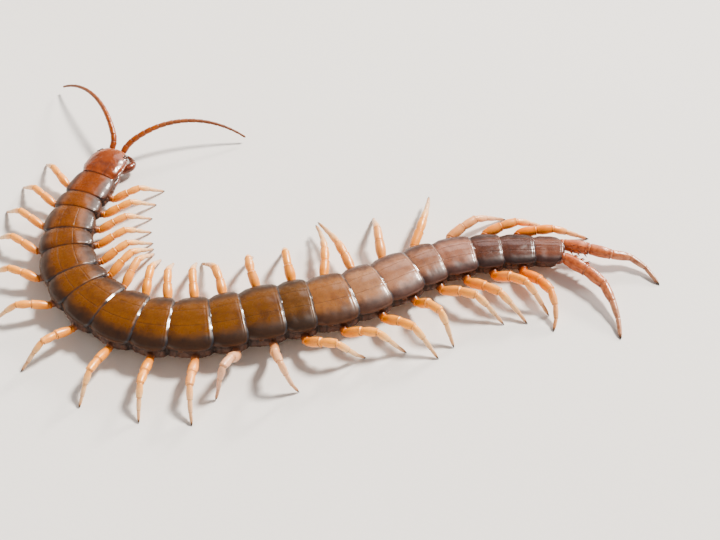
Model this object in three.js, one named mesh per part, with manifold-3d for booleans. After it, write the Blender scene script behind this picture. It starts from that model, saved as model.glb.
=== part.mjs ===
// A giant centipede with twenty-one pairs of legs, life size, standing on a flat floor.
// Millimetres, +Z up. The tail points along +X and the front half curls round towards +Y.
// Angles are in degrees, and a heading is counted anticlockwise from +X, seen from above.
import * as THREE from "three";
import { mergeVertices } from "three/addons/utils/BufferGeometryUtils.js";
import Module from "manifold-3d";

const wasm = await Module();
wasm.setup();

const degree = Math.PI / 180;
const up = new THREE.Vector3(0, 0, 1);
const jointGap = 0.3; // between the faces of two pieces that meet
const weld = 1e-4; // points closer than this are one

// The trunk from the first plate to the last: [length, width, heading of its front].
// Long and short plates take turns, apart from the seventh and eighth, which are both long.
const plates = [
  [5.8, 8.3, 68],
  [4.0, 8.7, 74],
  [5.6, 9.3, 84],
  [4.6, 9.8, 96],
  [6.1, 10.3, 109],
  [4.8, 10.7, 124],
  [6.2, 11.0, 139],
  [6.7, 11.3, 155],
  [5.6, 11.5, 171],
  [6.9, 11.7, 184],
  [5.7, 11.8, 194],
  [6.9, 11.8, 196],
  [5.4, 11.6, 192],
  [7.1, 11.3, 197],
  [6.2, 10.8, 207],
  [6.8, 10.1, 211],
  [5.4, 9.4, 207],
  [6.6, 8.7, 197],
  [5.4, 8.0, 188],
  [6.1, 7.2, 184],
  [4.2, 6.4, 178],
];
const tailEnd = [43.39, -5.17]; // middle of the last plate's rear edge, which centres the whole on the origin
const lineStep = 0.25; // along the trunk's middle line
const bellyHeight = 1.2; // of the belly above the floor
const heightShare = 0.47; // height of the trunk as a share of its width
const platesPerPiece = 2; // trunk plates in one length of the trunk

// Half of the trunk's outline from the front: [share of half the width, share of the height].
// The back plate runs from the middle of the back to its margin, then come side and belly.
const plateOutline = [
  [0, 1],
  [0.3, 0.985],
  [0.58, 0.925],
  [0.82, 0.81],
  [0.97, 0.7],
  [1, 0.64],
];
const sideOutline = [
  [0.95, 0.56],
  [0.93, 0.48],
  [0.93, 0.12],
  [0.76, 0.03],
  [0.42, 0],
  [0, 0],
];
const flatSide = sideOutline[1][0]; // share of half the width at which the legs leave the side
// One plate along its length: [share of the length, swell of the back plate, swell of the sides].
const plateSwell = [
  [0, 0.89, 0.95],
  [0.12, 0.95, 0.98],
  [0.4, 1, 1],
  [0.8, 1.01, 1],
  [0.96, 0.985, 0.98],
  [0.975, 0.9, 0.95],
];

// Walking legs. Each article: [length, radii at its near joint, middle and far joint].
// The coxa stands straight out of the trunk's side, and a claw ends the last article.
const coxaLength = 1.1;
const coxaRadius = 0.76;
const legArticles = [
  [3.4, [0.74, 0.95, 0.8]],
  [2.9, [0.64, 0.84, 0.66]],
  [2.6, [0.52, 0.64, 0.48]],
  [2.3, [0.4, 0.43, 0.34]],
  [1.6, [0.29, 0.3, 0.25]],
  [0.7, [0.17, 0.14, 0.09]],
];
const nearRing = 0.1; // place of the rings of an article past its bend, as shares of its length
const middleRing = 0.48;
const stoutRadius = 0.5; // an article that is thinner at its near joint has no ring there
const legSides = 7;
const legRootHeight = 0.3; // as a share of the trunk's height
const legRootPlace = 0.58; // as a share of the plate's length
const legSizes = [0.84, 1.08]; // of the first and the last walking leg
const sweepArticles = 4; // articles over which the sweep goes from its first to its last value

// How the walking legs stand: [sweep of the first article, sweep of the last, knee, foot].
// Sweep turns an article from straight out towards the tail, knee is the height of the knee
// above the root and foot the height of the claw's tip above the floor.
// Legs 11 to 20, of which the left ones face the viewer.
const rearLegsLeft = [
  [-36, -46, 3.4, 0],
  [-10, 56, 3.0, 0],
  [52, 96, 2.2, 0],
  [56, 66, 2.2, 0],
  [30, 22, 2.0, 0],
  [14, -2, 3.0, 0],
  [42, 26, 1.8, 0],
  [42, 30, 1.4, 0],
  [52, 34, 2.4, 0],
  [44, -18, 1.2, 0],
];
const rearLegsRight = [
  [0, -30, 1.4, 0],
  [-8, 30, 2.4, 0],
  [-4, 14, 2.2, 0],
  [22, -4, 0.9, 2.5],
  [4, -8, 0.9, 2.5],
  [22, 26, 1.4, 0],
  [46, 34, 0.9, 2],
  [66, 86, 0.9, 0],
  [74, 96, 0.9, 0],
  [88, 94, 0.8, 0],
];
// Legs 1 to 10 follow a walking wave about a mean sweep that turns from forward to sideways.
const frontLegs = 10;
const frontSweep = -38;
const middleSweep = -6;
const swingLeft = 13;
const swingRight = 6; // the legs crowd on the inside of the bend
const waveLegs = 6.5; // legs in one wave
const frontCurl = 12;
const frontKnee = 1.4;
const kneeRises = [0.75, 0.25]; // shares of the climb to the knee
const footFalls = [0.34, 0.34, 0.22, 0.1]; // shares of the fall from the knee to the floor

// The last pair of legs trails behind. Each article: [length, fall, radii].
const lastLegCoxa = 1.0;
const lastLegRadius = 1.05;
const lastLegSpread = 1.6; // of each root from the middle of the last plate
const lastLegHeight = 0.6; // of each root, as a share of the last plate's height
const lastLegSides = 8;
const lastLegArticles = [
  [4.9, 0.03, [1.02, 1.28, 1.1]],
  [4.1, 0.09, [0.9, 1.1, 0.9]],
  [3.7, 0.24, [0.74, 0.84, 0.66]],
  [3.4, 0.28, [0.54, 0.58, 0.46]],
  [3.3, 0.26, [0.4, 0.42, 0.32]],
  [0.8, 0.1, [0.22, 0.18, 0.1]],
];
const lastLegHeadings = {
  left: [-38, -48, -70, -78, -88, -92],
  right: [-12, -16, -2, -34, -56, -60],
};
// Spines on the first long article of a last leg: rows at these angles round it, counted from
// straight inward towards straight up, and places along it.
const spineRows = [-62, -24, 14, 52];
const spinePlaces = [0.3, 0.56, 0.82];
const spineLength = 0.85;
const spineRadius = 0.24;
const spineSides = 5;
const spineLean = 0.9; // backward for each step outward
const spineSink = 0.45; // depth of the spines' roots, as a share of the leg's radius

// Pointed processes under the roots of the last legs.
const processSpread = 0.95;
const processHeight = 1.4;
const processLength = 1.7;
const processRadius = 0.3;
const processSink = 0.85; // length of each root inside the trunk

// Head: a domed shield with a blunt front that carries the feelers.
const headLength = 7.0;
const headWidth = 7.9;
const headBottom = 2.95;
const headTop = 5.3;
// [share of the length, share of the width, share of the height]
const headSwell = [
  [0, 0.86, 0.93],
  [0.08, 0.94, 0.985],
  [0.3, 1, 1],
  [0.5, 0.99, 0.99],
  [0.68, 0.93, 0.95],
  [0.82, 0.82, 0.88],
  [0.93, 0.67, 0.79],
  [1, 0.53, 0.7],
];
const headOutline = [
  [0, 1],
  [0.33, 0.975],
  [0.62, 0.88],
  [0.85, 0.7],
  [0.98, 0.46],
  [0.96, 0.24],
  [0.76, 0.04],
  [0.38, 0],
  [0, 0],
];
// Four simple eyes on each side: [share of the head's length, place along the outline].
const eyePlaces = [
  [0.76, 2.7],
  [0.76, 3.35],
  [0.85, 2.75],
  [0.85, 3.4],
];
const eyeRadius = 0.3;
const eyeSides = 6;
const eyeBands = 4;

// Feelers: a chain of short articles that thins towards the tip.
const feelerArticles = 18;
const feelerArticle = 1.5;
const feelerRadii = [0.68, 0.27]; // at the root and at the tip
const feelerWaist = 0.8; // of a joint, as a share of the article's radius
const feelerSpread = 1.25; // of each root from the head's middle
const feelerHeight = 0.34; // of each root, as a share of the head's height
const feelerSides = 7;
const feelerBulge = 0.6; // place of an article's thickest ring, as a share of its length
const feelerBend = 2; // articles in which a feeler turns to the heading of its pose
// Heading from the head's, turn for each article, first pitch and its change for each article.
const feelerPose = {
  left: { heading: 34, turn: 2.6, pitch: 24, droop: -3.4 },
  right: { heading: -24, turn: -3.4, pitch: 20, droop: -3.0 },
};

// Poison claws and the broad plate under the head that carries them.
const clawPlateLength = 3.6;
const clawPlateWidths = [6.6, 6.5, 5.2]; // at its rear, middle and front
const clawPlateBottom = 1.15;
const clawPlateTop = 2.62;
const clawPlateBevel = 0.35;
const clawSpread = 1.8; // of each root from the middle
const clawHeight = 1.85;
const clawSides = 9;
// Path of one claw from its root: [forward, outward, radius].
const clawPath = [
  [0, 0, 0.7],
  [0.5, 0.45, 0.82],
  [1.2, 1.15, 0.94],
  [2.0, 1.65, 0.9],
  [2.7, 1.7, 0.76],
  [3.2, 1.45, 0.64],
  [3.6, 1.1, 0.54],
  [4.1, 0.4, 0.38],
  [4.4, -0.4, 0.24],
  [4.5, -1.1, 0.1],
];

function geometryFrom(points, faces) {
  const geometry = new THREE.BufferGeometry();
  geometry.setAttribute("position", new THREE.Float32BufferAttribute(points, 3));
  geometry.setIndex(faces);
  geometry.computeVertexNormals();
  return geometry;
}

// A closed body from rings of as many points each, with a flat face on its first and last ring.
function loft(rings) {
  const sides = rings[0].length;
  const points = rings.flat();
  const faces = [];
  const lastRing = points.length - sides;
  for (let a = 0; a < lastRing; a++) {
    const b = a % sides === sides - 1 ? a + 1 - sides : a + 1;
    faces.push(a, b, b + sides, a, b + sides, a + sides);
  }
  for (const first of [0, lastRing]) {
    const middle = points.length;
    points.push(meanPoint(points.slice(first, first + sides)));
    for (let s = 0; s < sides; s++) {
      const rim = [first + s, first + ((s + 1) % sides)];
      faces.push(middle, ...(first === 0 ? rim.reverse() : rim));
    }
  }
  return geometryFrom(points.flatMap((point) => point.toArray()), faces);
}

function meanPoint(points) {
  return points.reduce((sum, point) => sum.add(point), new THREE.Vector3()).divideScalar(points.length);
}

// Joins bodies into one and keeps its largest closed surface.
function fused(geometries) {
  const solids = geometries.map((geometry) => {
    const bare = new THREE.BufferGeometry();
    bare.setAttribute("position", geometry.getAttribute("position"));
    bare.setIndex(geometry.getIndex());
    const merged = mergeVertices(bare, weld);
    return new wasm.Manifold(
      new wasm.Mesh({
        numProp: 3,
        vertProperties: merged.getAttribute("position").array,
        triVerts: new Uint32Array(merged.getIndex().array),
      }),
    );
  });
  const whole = solids.reduce((sum, solid) => sum.add(solid));
  const largest = whole.decompose().reduce((best, piece) => (piece.volume() > best.volume() ? piece : best));
  const { vertProperties, triVerts } = largest.getMesh();
  return geometryFrom(vertProperties, Array.from(triVerts));
}

// Both halves of an outline, as [leftward, height, place in the half], for rings that run forward.
function wholeOutline(half) {
  const right = half.map(([x, z], i) => [-x, z, i]);
  const left = half.map(([x, z], i) => [x, z, i]).slice(1, -1);
  return [...right, ...left.reverse()];
}

// A ring of points round a centre, square to a direction.
function roundRing(centre, direction, radius, sides) {
  const ahead = direction.clone().normalize();
  const side = new THREE.Vector3().crossVectors(ahead, up).normalize();
  const above = new THREE.Vector3().crossVectors(side, ahead);
  return ringIn(side, above, centre, radius, sides);
}

// A ring of points round a centre, in the plane of two ways.
function ringIn(side, above, centre, radius, sides) {
  return Array.from({ length: sides }, (_, i) => {
    const angle = (-2 * Math.PI * (i + 0.5)) / sides;
    return centre
      .clone()
      .addScaledVector(side, radius * Math.cos(angle))
      .addScaledVector(above, radius * Math.sin(angle));
  });
}

function wayTo(heading, pitch = 0) {
  const flat = Math.cos(pitch * degree);
  return new THREE.Vector3(
    flat * Math.cos(heading * degree),
    flat * Math.sin(heading * degree),
    Math.sin(pitch * degree),
  );
}

// The trunk's middle line on the floor. Distances along it are counted from the front.
const starts = [0];
for (const [length] of plates) starts.push(starts.at(-1) + length);
const trunkLength = starts.at(-1);
const middles = plates.map(([length], i) => starts[i] + length / 2);

// Width or heading at a distance, on straight lines between the middles of the plates.
function between(column, distance) {
  const next = middles.findIndex((middle) => middle > distance);
  if (next === 0) return plates[0][column];
  if (next < 0) return plates.at(-1)[column];
  const share = (distance - middles[next - 1]) / (middles[next] - middles[next - 1]);
  return THREE.MathUtils.lerp(plates[next - 1][column], plates[next][column], share);
}

const steps = Math.round(trunkLength / lineStep);
const line = [new THREE.Vector3(...tailEnd, 0)];
for (let i = steps - 1; i >= 0; i--) {
  const ahead = wayTo(between(2, ((i + 0.5) * trunkLength) / steps));
  line.unshift(line[0].clone().addScaledVector(ahead, trunkLength / steps));
}

// A place on the trunk, with the ways to the tail and to the animal's left.
function trunkPlace(distance) {
  const at = THREE.MathUtils.clamp((distance / trunkLength) * steps, 0, steps);
  const low = Math.min(Math.floor(at), steps - 1);
  const point = line[low].clone().lerp(line[low + 1], at - low);
  const back = wayTo(between(2, distance) + 180);
  const left = new THREE.Vector3().crossVectors(back, up);
  const width = between(1, distance);
  return { point, back, left, width, height: width * heightShare };
}

function trunkRing({ distance, shift = 0, plateScale, sideScale }) {
  const { point, back, left, width, height } = trunkPlace(distance);
  return wholeOutline([...plateOutline, ...sideOutline]).map(([x, z, i]) => {
    const scale = i < plateOutline.length ? plateScale : sideScale;
    return point
      .clone()
      .addScaledVector(back, shift)
      .addScaledVector(left, (x * scale * width) / 2)
      .addScaledVector(up, bellyHeight + height * (0.5 + (z - 0.5) * scale));
  });
}

function trunkPiece(first, last) {
  const rings = [];
  for (let plate = first; plate <= last; plate++) {
    for (const [share, plateScale, sideScale] of plateSwell) {
      const distance = starts[plate] + share * plates[plate][0];
      rings.push({ distance, plateScale, sideScale });
    }
  }
  rings.pop(); // the rear edge of the last plate is the end of the piece
  rings[0].shift = jointGap / 2;
  Object.assign(rings.at(-1), { distance: starts[last + 1], shift: -jointGap / 2 });
  return loft(rings.reverse().map(trunkRing));
}

// Last length of the trunk, with the two pointed processes under the roots of the last legs.
function tailPiece() {
  const plate = plates.length - 1;
  const { point, back, left } = trunkPlace(trunkLength);
  const processes = [1, -1].map((side) => {
    const root = point
      .clone()
      .addScaledVector(left, side * processSpread)
      .addScaledVector(back, -processSink)
      .setZ(processHeight);
    return spine(root, back, processSink + processLength, processRadius);
  });
  return fused([trunkPiece(plate, plate), ...processes]);
}

function spine(root, way, length, radius) {
  const cone = new THREE.ConeGeometry(radius, length, spineSides);
  cone.translate(0, length / 2, 0);
  cone.applyQuaternion(new THREE.Quaternion().setFromUnitVectors(new THREE.Vector3(0, 1, 0), way));
  cone.translate(root.x, root.y, root.z);
  return cone;
}

// Rings of a jointed limb that starts with a plain stub. A joint is square to the mean of its two ways.
function limbRings(root, stub, articles, sides) {
  const point = root.clone().addScaledVector(stub.way, stub.length);
  const ways = [stub.way, ...articles.map(({ way }) => way)];
  const rings = [
    roundRing(root, stub.way, stub.radius, sides),
    roundRing(point, stub.way.clone().add(articles[0].way), stub.radius, sides),
  ];
  articles.forEach(({ length, way, radii: [near, middle, far] }, i) => {
    const along = (share) => point.clone().addScaledVector(way, share * length);
    const isClaw = i === articles.length - 1;
    const bend = (near * Math.tan(way.angleTo(ways[i]) / 2)) / length;
    if (near > stoutRadius || isClaw) rings.push(roundRing(along(bend + nearRing), way, near, sides));
    if (!isClaw) rings.push(roundRing(along(middleRing), way, middle, sides));
    point.copy(along(1));
    const nextWay = isClaw ? way : articles[i + 1].way;
    rings.push(roundRing(point, way.clone().add(nextWay), far, sides));
  });
  return rings;
}

// Lays the last ring of a limb level on the floor, so that the claw's tip stands flat.
function footed(rings, way, radius) {
  const centre = meanPoint(rings.at(-1)).setZ(0);
  const ahead = way.clone().setZ(0).normalize();
  const side = new THREE.Vector3().crossVectors(ahead, up);
  return [...rings.slice(0, -1), ringIn(side, ahead, centre, radius, rings[0].length)];
}

function walkingPose(leg, side) {
  if (leg > frontLegs) return (side > 0 ? rearLegsLeft : rearLegsRight)[leg - frontLegs - 1];
  const mean = THREE.MathUtils.mapLinear(leg, 1, frontLegs, frontSweep, middleSweep);
  const swing = side > 0 ? swingLeft : -swingRight;
  const curl = THREE.MathUtils.mapLinear(leg, 1, frontLegs, -frontCurl, frontCurl);
  const sweep = mean + swing * Math.sin((2 * Math.PI * leg) / waveLegs);
  return [sweep, sweep + curl, frontKnee, 0];
}

// side is 1 on the animal's left and -1 on its right.
function walkingLeg(leg, side) {
  const distance = starts[leg - 1] + legRootPlace * plates[leg - 1][0];
  const { point, back, left, width, height } = trunkPlace(distance);
  const size = THREE.MathUtils.mapLinear(leg, 1, plates.length - 1, ...legSizes);
  const out = left.clone().multiplyScalar(side);
  const root = point
    .clone()
    .addScaledVector(out, (flatSide * width) / 2 + jointGap)
    .setZ(bellyHeight + legRootHeight * height);
  const [firstSweep, lastSweep, knee, foot] = walkingPose(leg, side);
  const fall = root.z + knee * size - foot;
  const rises = [...kneeRises.map((share) => share * knee * size), ...footFalls.map((share) => -share * fall)];
  const articles = legArticles.map(([length, radii], i) => {
    const long = length * size;
    const sweep = THREE.MathUtils.lerp(firstSweep, lastSweep, Math.min(1, i / sweepArticles)) * degree;
    const flat = Math.sqrt(long ** 2 - rises[i] ** 2);
    const way = out
      .clone()
      .multiplyScalar(Math.cos(sweep) * flat)
      .addScaledVector(back, Math.sin(sweep) * flat)
      .setZ(rises[i])
      .divideScalar(long);
    return { length: long, way, radii: radii.map((radius) => radius * size) };
  });
  const stub = { length: coxaLength * size, way: out, radius: coxaRadius * size };
  const rings = limbRings(root, stub, articles, legSides);
  const claw = articles.at(-1);
  return loft(foot > 0 ? rings : footed(rings, claw.way, claw.radii.at(-1)));
}

// One of the last pair of legs, with spines on the inner side of its first long article.
function lastLeg(headings, side) {
  const { point, back, left, height } = trunkPlace(trunkLength);
  const root = point
    .clone()
    .addScaledVector(left, side * lastLegSpread)
    .addScaledVector(back, jointGap / 2)
    .setZ(bellyHeight + lastLegHeight * height);
  const articles = lastLegArticles.map(([length, fall, radii], i) => {
    const pitch = Math.asin((-fall * root.z) / length) / degree;
    return { length, way: wayTo(headings[i], pitch), radii };
  });
  const stub = { length: lastLegCoxa, way: back, radius: lastLegRadius };
  const rings = limbRings(root, stub, articles, lastLegSides);
  const claw = articles.at(-1);
  const leg = loft(footed(rings, claw.way, claw.radii.at(-1)));

  const [{ length, way, radii }] = articles;
  const start = root.clone().addScaledVector(back, lastLegCoxa);
  const inward = new THREE.Vector3().crossVectors(up, way).multiplyScalar(side).normalize();
  const above = new THREE.Vector3().crossVectors(way, inward).multiplyScalar(side).normalize();
  const spines = spineRows.flatMap((row) =>
    spinePlaces.map((place) => {
      const outward = inward
        .clone()
        .multiplyScalar(Math.cos(row * degree))
        .addScaledVector(above, Math.sin(row * degree));
      const foot = start
        .clone()
        .addScaledVector(way, place * length)
        .addScaledVector(outward, radii[1] * (1 - spineSink));
      const lean = outward.clone().addScaledVector(way, spineLean).normalize();
      return spine(foot, lean, spineLength + radii[1] * spineSink, spineRadius);
    }),
  );
  return fused([leg, ...spines]);
}

const headPlace = trunkPlace(0);
const headAhead = headPlace.back.clone().negate();
const headHeading = plates[0][2];

// A point of the head's frame: forward from the neck, to the left, and up from the floor.
function headPoint(forward, leftward, height) {
  return headPlace.point
    .clone()
    .addScaledVector(headAhead, forward)
    .addScaledVector(headPlace.left, leftward)
    .setZ(height);
}

function headRing([share, widthScale, heightScale]) {
  return wholeOutline(headOutline).map(([x, z]) =>
    headPoint(
      jointGap / 2 + share * headLength,
      (x * widthScale * headWidth) / 2,
      headBottom + (headTop - headBottom) * z * heightScale,
    ),
  );
}

function eye([share, place], side) {
  const before = headSwell.findLastIndex(([at]) => at <= share);
  const [low, high] = [headSwell[before], headSwell[before + 1]];
  const past = (share - low[0]) / (high[0] - low[0]);
  const swell = low.map((value, i) => THREE.MathUtils.lerp(value, high[i], past));
  const corner = Math.floor(place);
  const [x, z] = headOutline[corner].map((value, i) =>
    THREE.MathUtils.lerp(value, headOutline[corner + 1][i], place - corner),
  );
  const centre = headPoint(
    jointGap / 2 + share * headLength,
    (side * x * swell[1] * headWidth) / 2,
    headBottom + (headTop - headBottom) * z * swell[2],
  );
  const ball = new THREE.SphereGeometry(eyeRadius, eyeSides, eyeBands);
  return ball.translate(centre.x, centre.y, centre.z);
}

function head() {
  const eyes = [1, -1].flatMap((side) => eyePlaces.map((place) => eye(place, side)));
  return fused([loft(headSwell.map(headRing)), ...eyes]);
}

function feeler(side, pose) {
  const root = headPoint(
    jointGap / 2 + headLength + jointGap,
    side * feelerSpread,
    headBottom + feelerHeight * (headTop - headBottom),
  );
  const rings = [roundRing(root, headAhead, feelerRadii[0] * feelerWaist, feelerSides)];
  const point = root.clone();
  for (let i = 0; i < feelerArticles; i++) {
    const radius = THREE.MathUtils.lerp(...feelerRadii, i / (feelerArticles - 1));
    const heading = headHeading + pose.heading * Math.min(1, (i + 0.5) / feelerBend) + pose.turn * i;
    const way = wayTo(heading, pose.pitch + pose.droop * i);
    const bulge = point.clone().addScaledVector(way, feelerArticle * feelerBulge);
    rings.push(roundRing(bulge, way, radius, feelerSides));
    point.addScaledVector(way, feelerArticle);
    rings.push(roundRing(point, way, radius * feelerWaist, feelerSides));
  }
  return loft(rings);
}

function clawPlate() {
  const middle = (clawPlateBottom + clawPlateTop) / 2;
  const half = (clawPlateTop - clawPlateBottom) / 2;
  const forwards = [jointGap / 2, clawPlateLength / 2, clawPlateLength];
  return loft(
    forwards.map((forward, i) => {
      const wide = clawPlateWidths[i] / 2;
      const outline = [
        [0, half],
        [wide - clawPlateBevel, half],
        [wide, half - clawPlateBevel],
        [wide, clawPlateBevel - half],
        [wide - clawPlateBevel, -half],
        [0, -half],
      ];
      return wholeOutline(outline).map(([x, z]) => headPoint(forward, x, middle + z));
    }),
  );
}

function poisonClaw(side) {
  const points = clawPath.map(([forward, outward]) =>
    headPoint(clawPlateLength + jointGap + forward, side * (clawSpread + outward), clawHeight),
  );
  const rings = points.map((point, i) => {
    const before = points[Math.max(i - 1, 0)];
    const after = points[Math.min(i + 1, points.length - 1)];
    const way = i === 0 ? headAhead : after.clone().sub(before);
    return roundRing(point, way, clawPath[i][2], clawSides);
  });
  return loft(rings);
}

// Finishes: [colour, roughness, metalness].
const finishes = {
  back: ["#7d4a22", 0.34, 0],
  leg: ["#e0842c", 0.42, 0],
  lastLeg: ["#b9552b", 0.4, 0],
  head: ["#8e4a20", 0.32, 0],
  feeler: ["#b9662f", 0.45, 0],
  claw: ["#7a3014", 0.3, 0],
};

const centipede = new THREE.Group();
function add(name, geometry, finish) {
  const [color, roughness, metalness] = finishes[finish];
  const mesh = new THREE.Mesh(geometry, new THREE.MeshStandardMaterial({ color, roughness, metalness }));
  mesh.name = name;
  centipede.add(mesh);
}

const twoDigits = (number) => String(number).padStart(2, "0");
for (let first = 1; first < plates.length; first += platesPerPiece) {
  const last = first + platesPerPiece - 1;
  add(`trunk_${twoDigits(first)}_${twoDigits(last)}`, trunkPiece(first - 1, last - 1), "back");
}
add(`trunk_${twoDigits(plates.length)}`, tailPiece(), "back");
for (let leg = 1; leg < plates.length; leg++) {
  add(`leg_left_${twoDigits(leg)}`, walkingLeg(leg, 1), "leg");
  add(`leg_right_${twoDigits(leg)}`, walkingLeg(leg, -1), "leg");
}
add("last_leg_left", lastLeg(lastLegHeadings.left, 1), "lastLeg");
add("last_leg_right", lastLeg(lastLegHeadings.right, -1), "lastLeg");
add("head", head(), "head");
add("antenna_left", feeler(1, feelerPose.left), "feeler");
add("antenna_right", feeler(-1, feelerPose.right), "feeler");
add("claw_plate", clawPlate(), "claw");
add("poison_claw_left", poisonClaw(1), "claw");
add("poison_claw_right", poisonClaw(-1), "claw");

export default centipede;
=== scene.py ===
import math

import bpy
import numpy as np
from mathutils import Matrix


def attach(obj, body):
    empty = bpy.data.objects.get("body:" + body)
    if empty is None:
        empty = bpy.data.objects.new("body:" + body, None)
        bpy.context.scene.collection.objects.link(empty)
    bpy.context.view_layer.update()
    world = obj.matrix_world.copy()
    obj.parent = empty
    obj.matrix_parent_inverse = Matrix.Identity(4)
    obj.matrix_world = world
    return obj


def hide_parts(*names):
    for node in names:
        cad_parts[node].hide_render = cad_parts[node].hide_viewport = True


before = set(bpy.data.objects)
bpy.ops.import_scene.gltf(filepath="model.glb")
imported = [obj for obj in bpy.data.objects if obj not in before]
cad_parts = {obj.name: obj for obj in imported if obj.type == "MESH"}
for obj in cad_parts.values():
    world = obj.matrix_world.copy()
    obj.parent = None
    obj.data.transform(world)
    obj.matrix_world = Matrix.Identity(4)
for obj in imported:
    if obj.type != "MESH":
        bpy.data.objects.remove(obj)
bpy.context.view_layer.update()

# Lengths are in millimetres until a mesh is made. +X points to the tail, +Z up from the floor.
# Headings are in degrees, counted anticlockwise from +X, seen from above.
mm = 0.001
up = np.array([0.0, 0.0, 1.0])
chance = np.random.default_rng(21)
leftRight = {"Left": 1, "Right": -1}

trunk = {
    # each back plate from the head on: length, width, heading towards the head
    "plates": [
        (5.8, 8.3, 68), (4.0, 8.7, 74), (5.6, 9.3, 84), (4.6, 9.8, 96), (6.1, 10.3, 109),
        (4.8, 10.7, 124), (6.2, 11.0, 139), (6.7, 11.3, 155), (5.6, 11.5, 171), (6.9, 11.7, 184),
        (5.7, 11.8, 194), (6.9, 11.8, 196), (5.4, 11.6, 192), (7.1, 11.3, 197), (6.2, 10.8, 207),
        (6.8, 10.1, 211), (5.4, 9.4, 207), (6.6, 8.7, 197), (5.4, 8.0, 188), (6.1, 7.2, 184),
        (4.2, 6.4, 178),
    ],
    "tailEnd": (43.39, -5.17, 0.0),  # middle of the last plate's rear edge
    "step": 0.25,  # along the middle line
    "belly": 1.2,  # height above the floor
    "tallness": 0.47,  # height as a share of the width
    "gap": 0.3,  # between the solids of two pieces that meet
    "sutures": 0.27,  # place of the back plates' sutures, as a share of half the width
}


# Curves and small vector tools

def curveThrough(keys, values, at):
    # a smooth curve through values given at keys, read at other places
    keys, values, at = (np.asarray(v, float) for v in (keys, values, at))
    slopes = np.gradient(values, keys, axis=0)
    low = np.clip(np.searchsorted(keys, at, side="right") - 1, 0, len(keys) - 2)
    gap = keys[low + 1] - keys[low]
    t = np.clip((at - keys[low]) / gap, 0, 1)
    if values.ndim > 1:
        t, gap = t[..., None], gap[..., None]
    rise = 3 * t**2 - 2 * t**3
    bend = (t**3 - 2 * t**2 + t) * gap * slopes[low] + (t**3 - t**2) * gap * slopes[low + 1]
    return (1 - rise) * values[low] + rise * values[low + 1] + bend


def tableCurve(table, at):
    return curveThrough(*zip(*table), at)


def evenCurve(values, at):
    return curveThrough(np.linspace(0, 1, len(values)), values, at)


def bow(t, start, middle, end):
    # from start to end, bent towards middle
    a, b, c = ((1 - t) ** 2)[:, None], (2 * t * (1 - t))[:, None], (t**2)[:, None]
    return a * start + b * middle + c * end


def hump(x, middle, spread):
    return np.exp(-(((x - middle) / spread) ** 2))


def humps(x, table):
    # table holds places, widths and heights
    return sum(height * hump(x, place, wide) for place, wide, height in table)


def ramp(x, low, high):
    # 0 below low, 1 above high, smooth between
    t = np.clip((x - low) / (high - low), 0, 1)
    return t * t * (3 - 2 * t)


def window(x, *edges):
    # rises between the first two of four edges and falls between the last two
    return ramp(x, *edges[:2]) * (1 - ramp(x, *edges[2:]))


def squarer(wave, power):
    return np.sign(wave) * np.abs(wave) ** power


def turns(count):
    # angles of points spread evenly around a ring
    return 2 * math.pi * np.arange(count) / count


def unit(vectors):
    return vectors / np.linalg.norm(vectors, axis=-1, keepdims=True)


def outwardOf(grid):
    return unit(np.cross(np.gradient(grid, axis=1), np.gradient(grid, axis=0)))


def raised(grid, relief, outward):
    # the grid with its points moved out by what relief says
    return grid + outward * relief[..., None]


def wayTo(heading, pitch=0.0):
    heading, pitch = np.radians(heading), np.radians(pitch)
    flat = np.cos(pitch)
    return np.stack(np.broadcast_arrays(flat * np.cos(heading), flat * np.sin(heading), np.sin(pitch)), -1)


def waviness(points, size, seed, waves=7):
    # soft unevenness between about -1 and 1, from a few crossing waves
    draw = np.random.default_rng(seed)
    total = np.zeros(points.shape[:-1])
    for _ in range(waves):
        way = unit(draw.normal(size=3)) / size * draw.uniform(0.7, 1.6)
        total += np.sin(points @ way * 2 * math.pi + draw.uniform(0, 2 * math.pi))
    return total / math.sqrt(waves)


# Meshes: every maker returns points, faces and a dictionary of one number per point

def flipped(faces):
    return [face[::-1] for face in faces]


def sheetFaces(rows, columns, closed=False, first=0):
    faces = []
    for r in range(rows - 1):
        for c in range(columns if closed else columns - 1):
            a, b = first + r * columns + c, first + r * columns + (c + 1) % columns
            faces.append((a, b, b + columns, a + columns))
    return faces


def capped(grid, values, flip=False):
    # a closed body whose rings are the rows of the grid
    rings, sides = grid.shape[:2]
    ends = [tuple(range(sides))[::-1], tuple(range((rings - 1) * sides, rings * sides))]
    faces = sheetFaces(rings, sides, closed=True) + ends
    values = {key: np.broadcast_to(value, (rings, sides)).ravel() for key, value in values.items()}
    return grid.reshape(-1, 3), flipped(faces) if flip else faces, values


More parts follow.
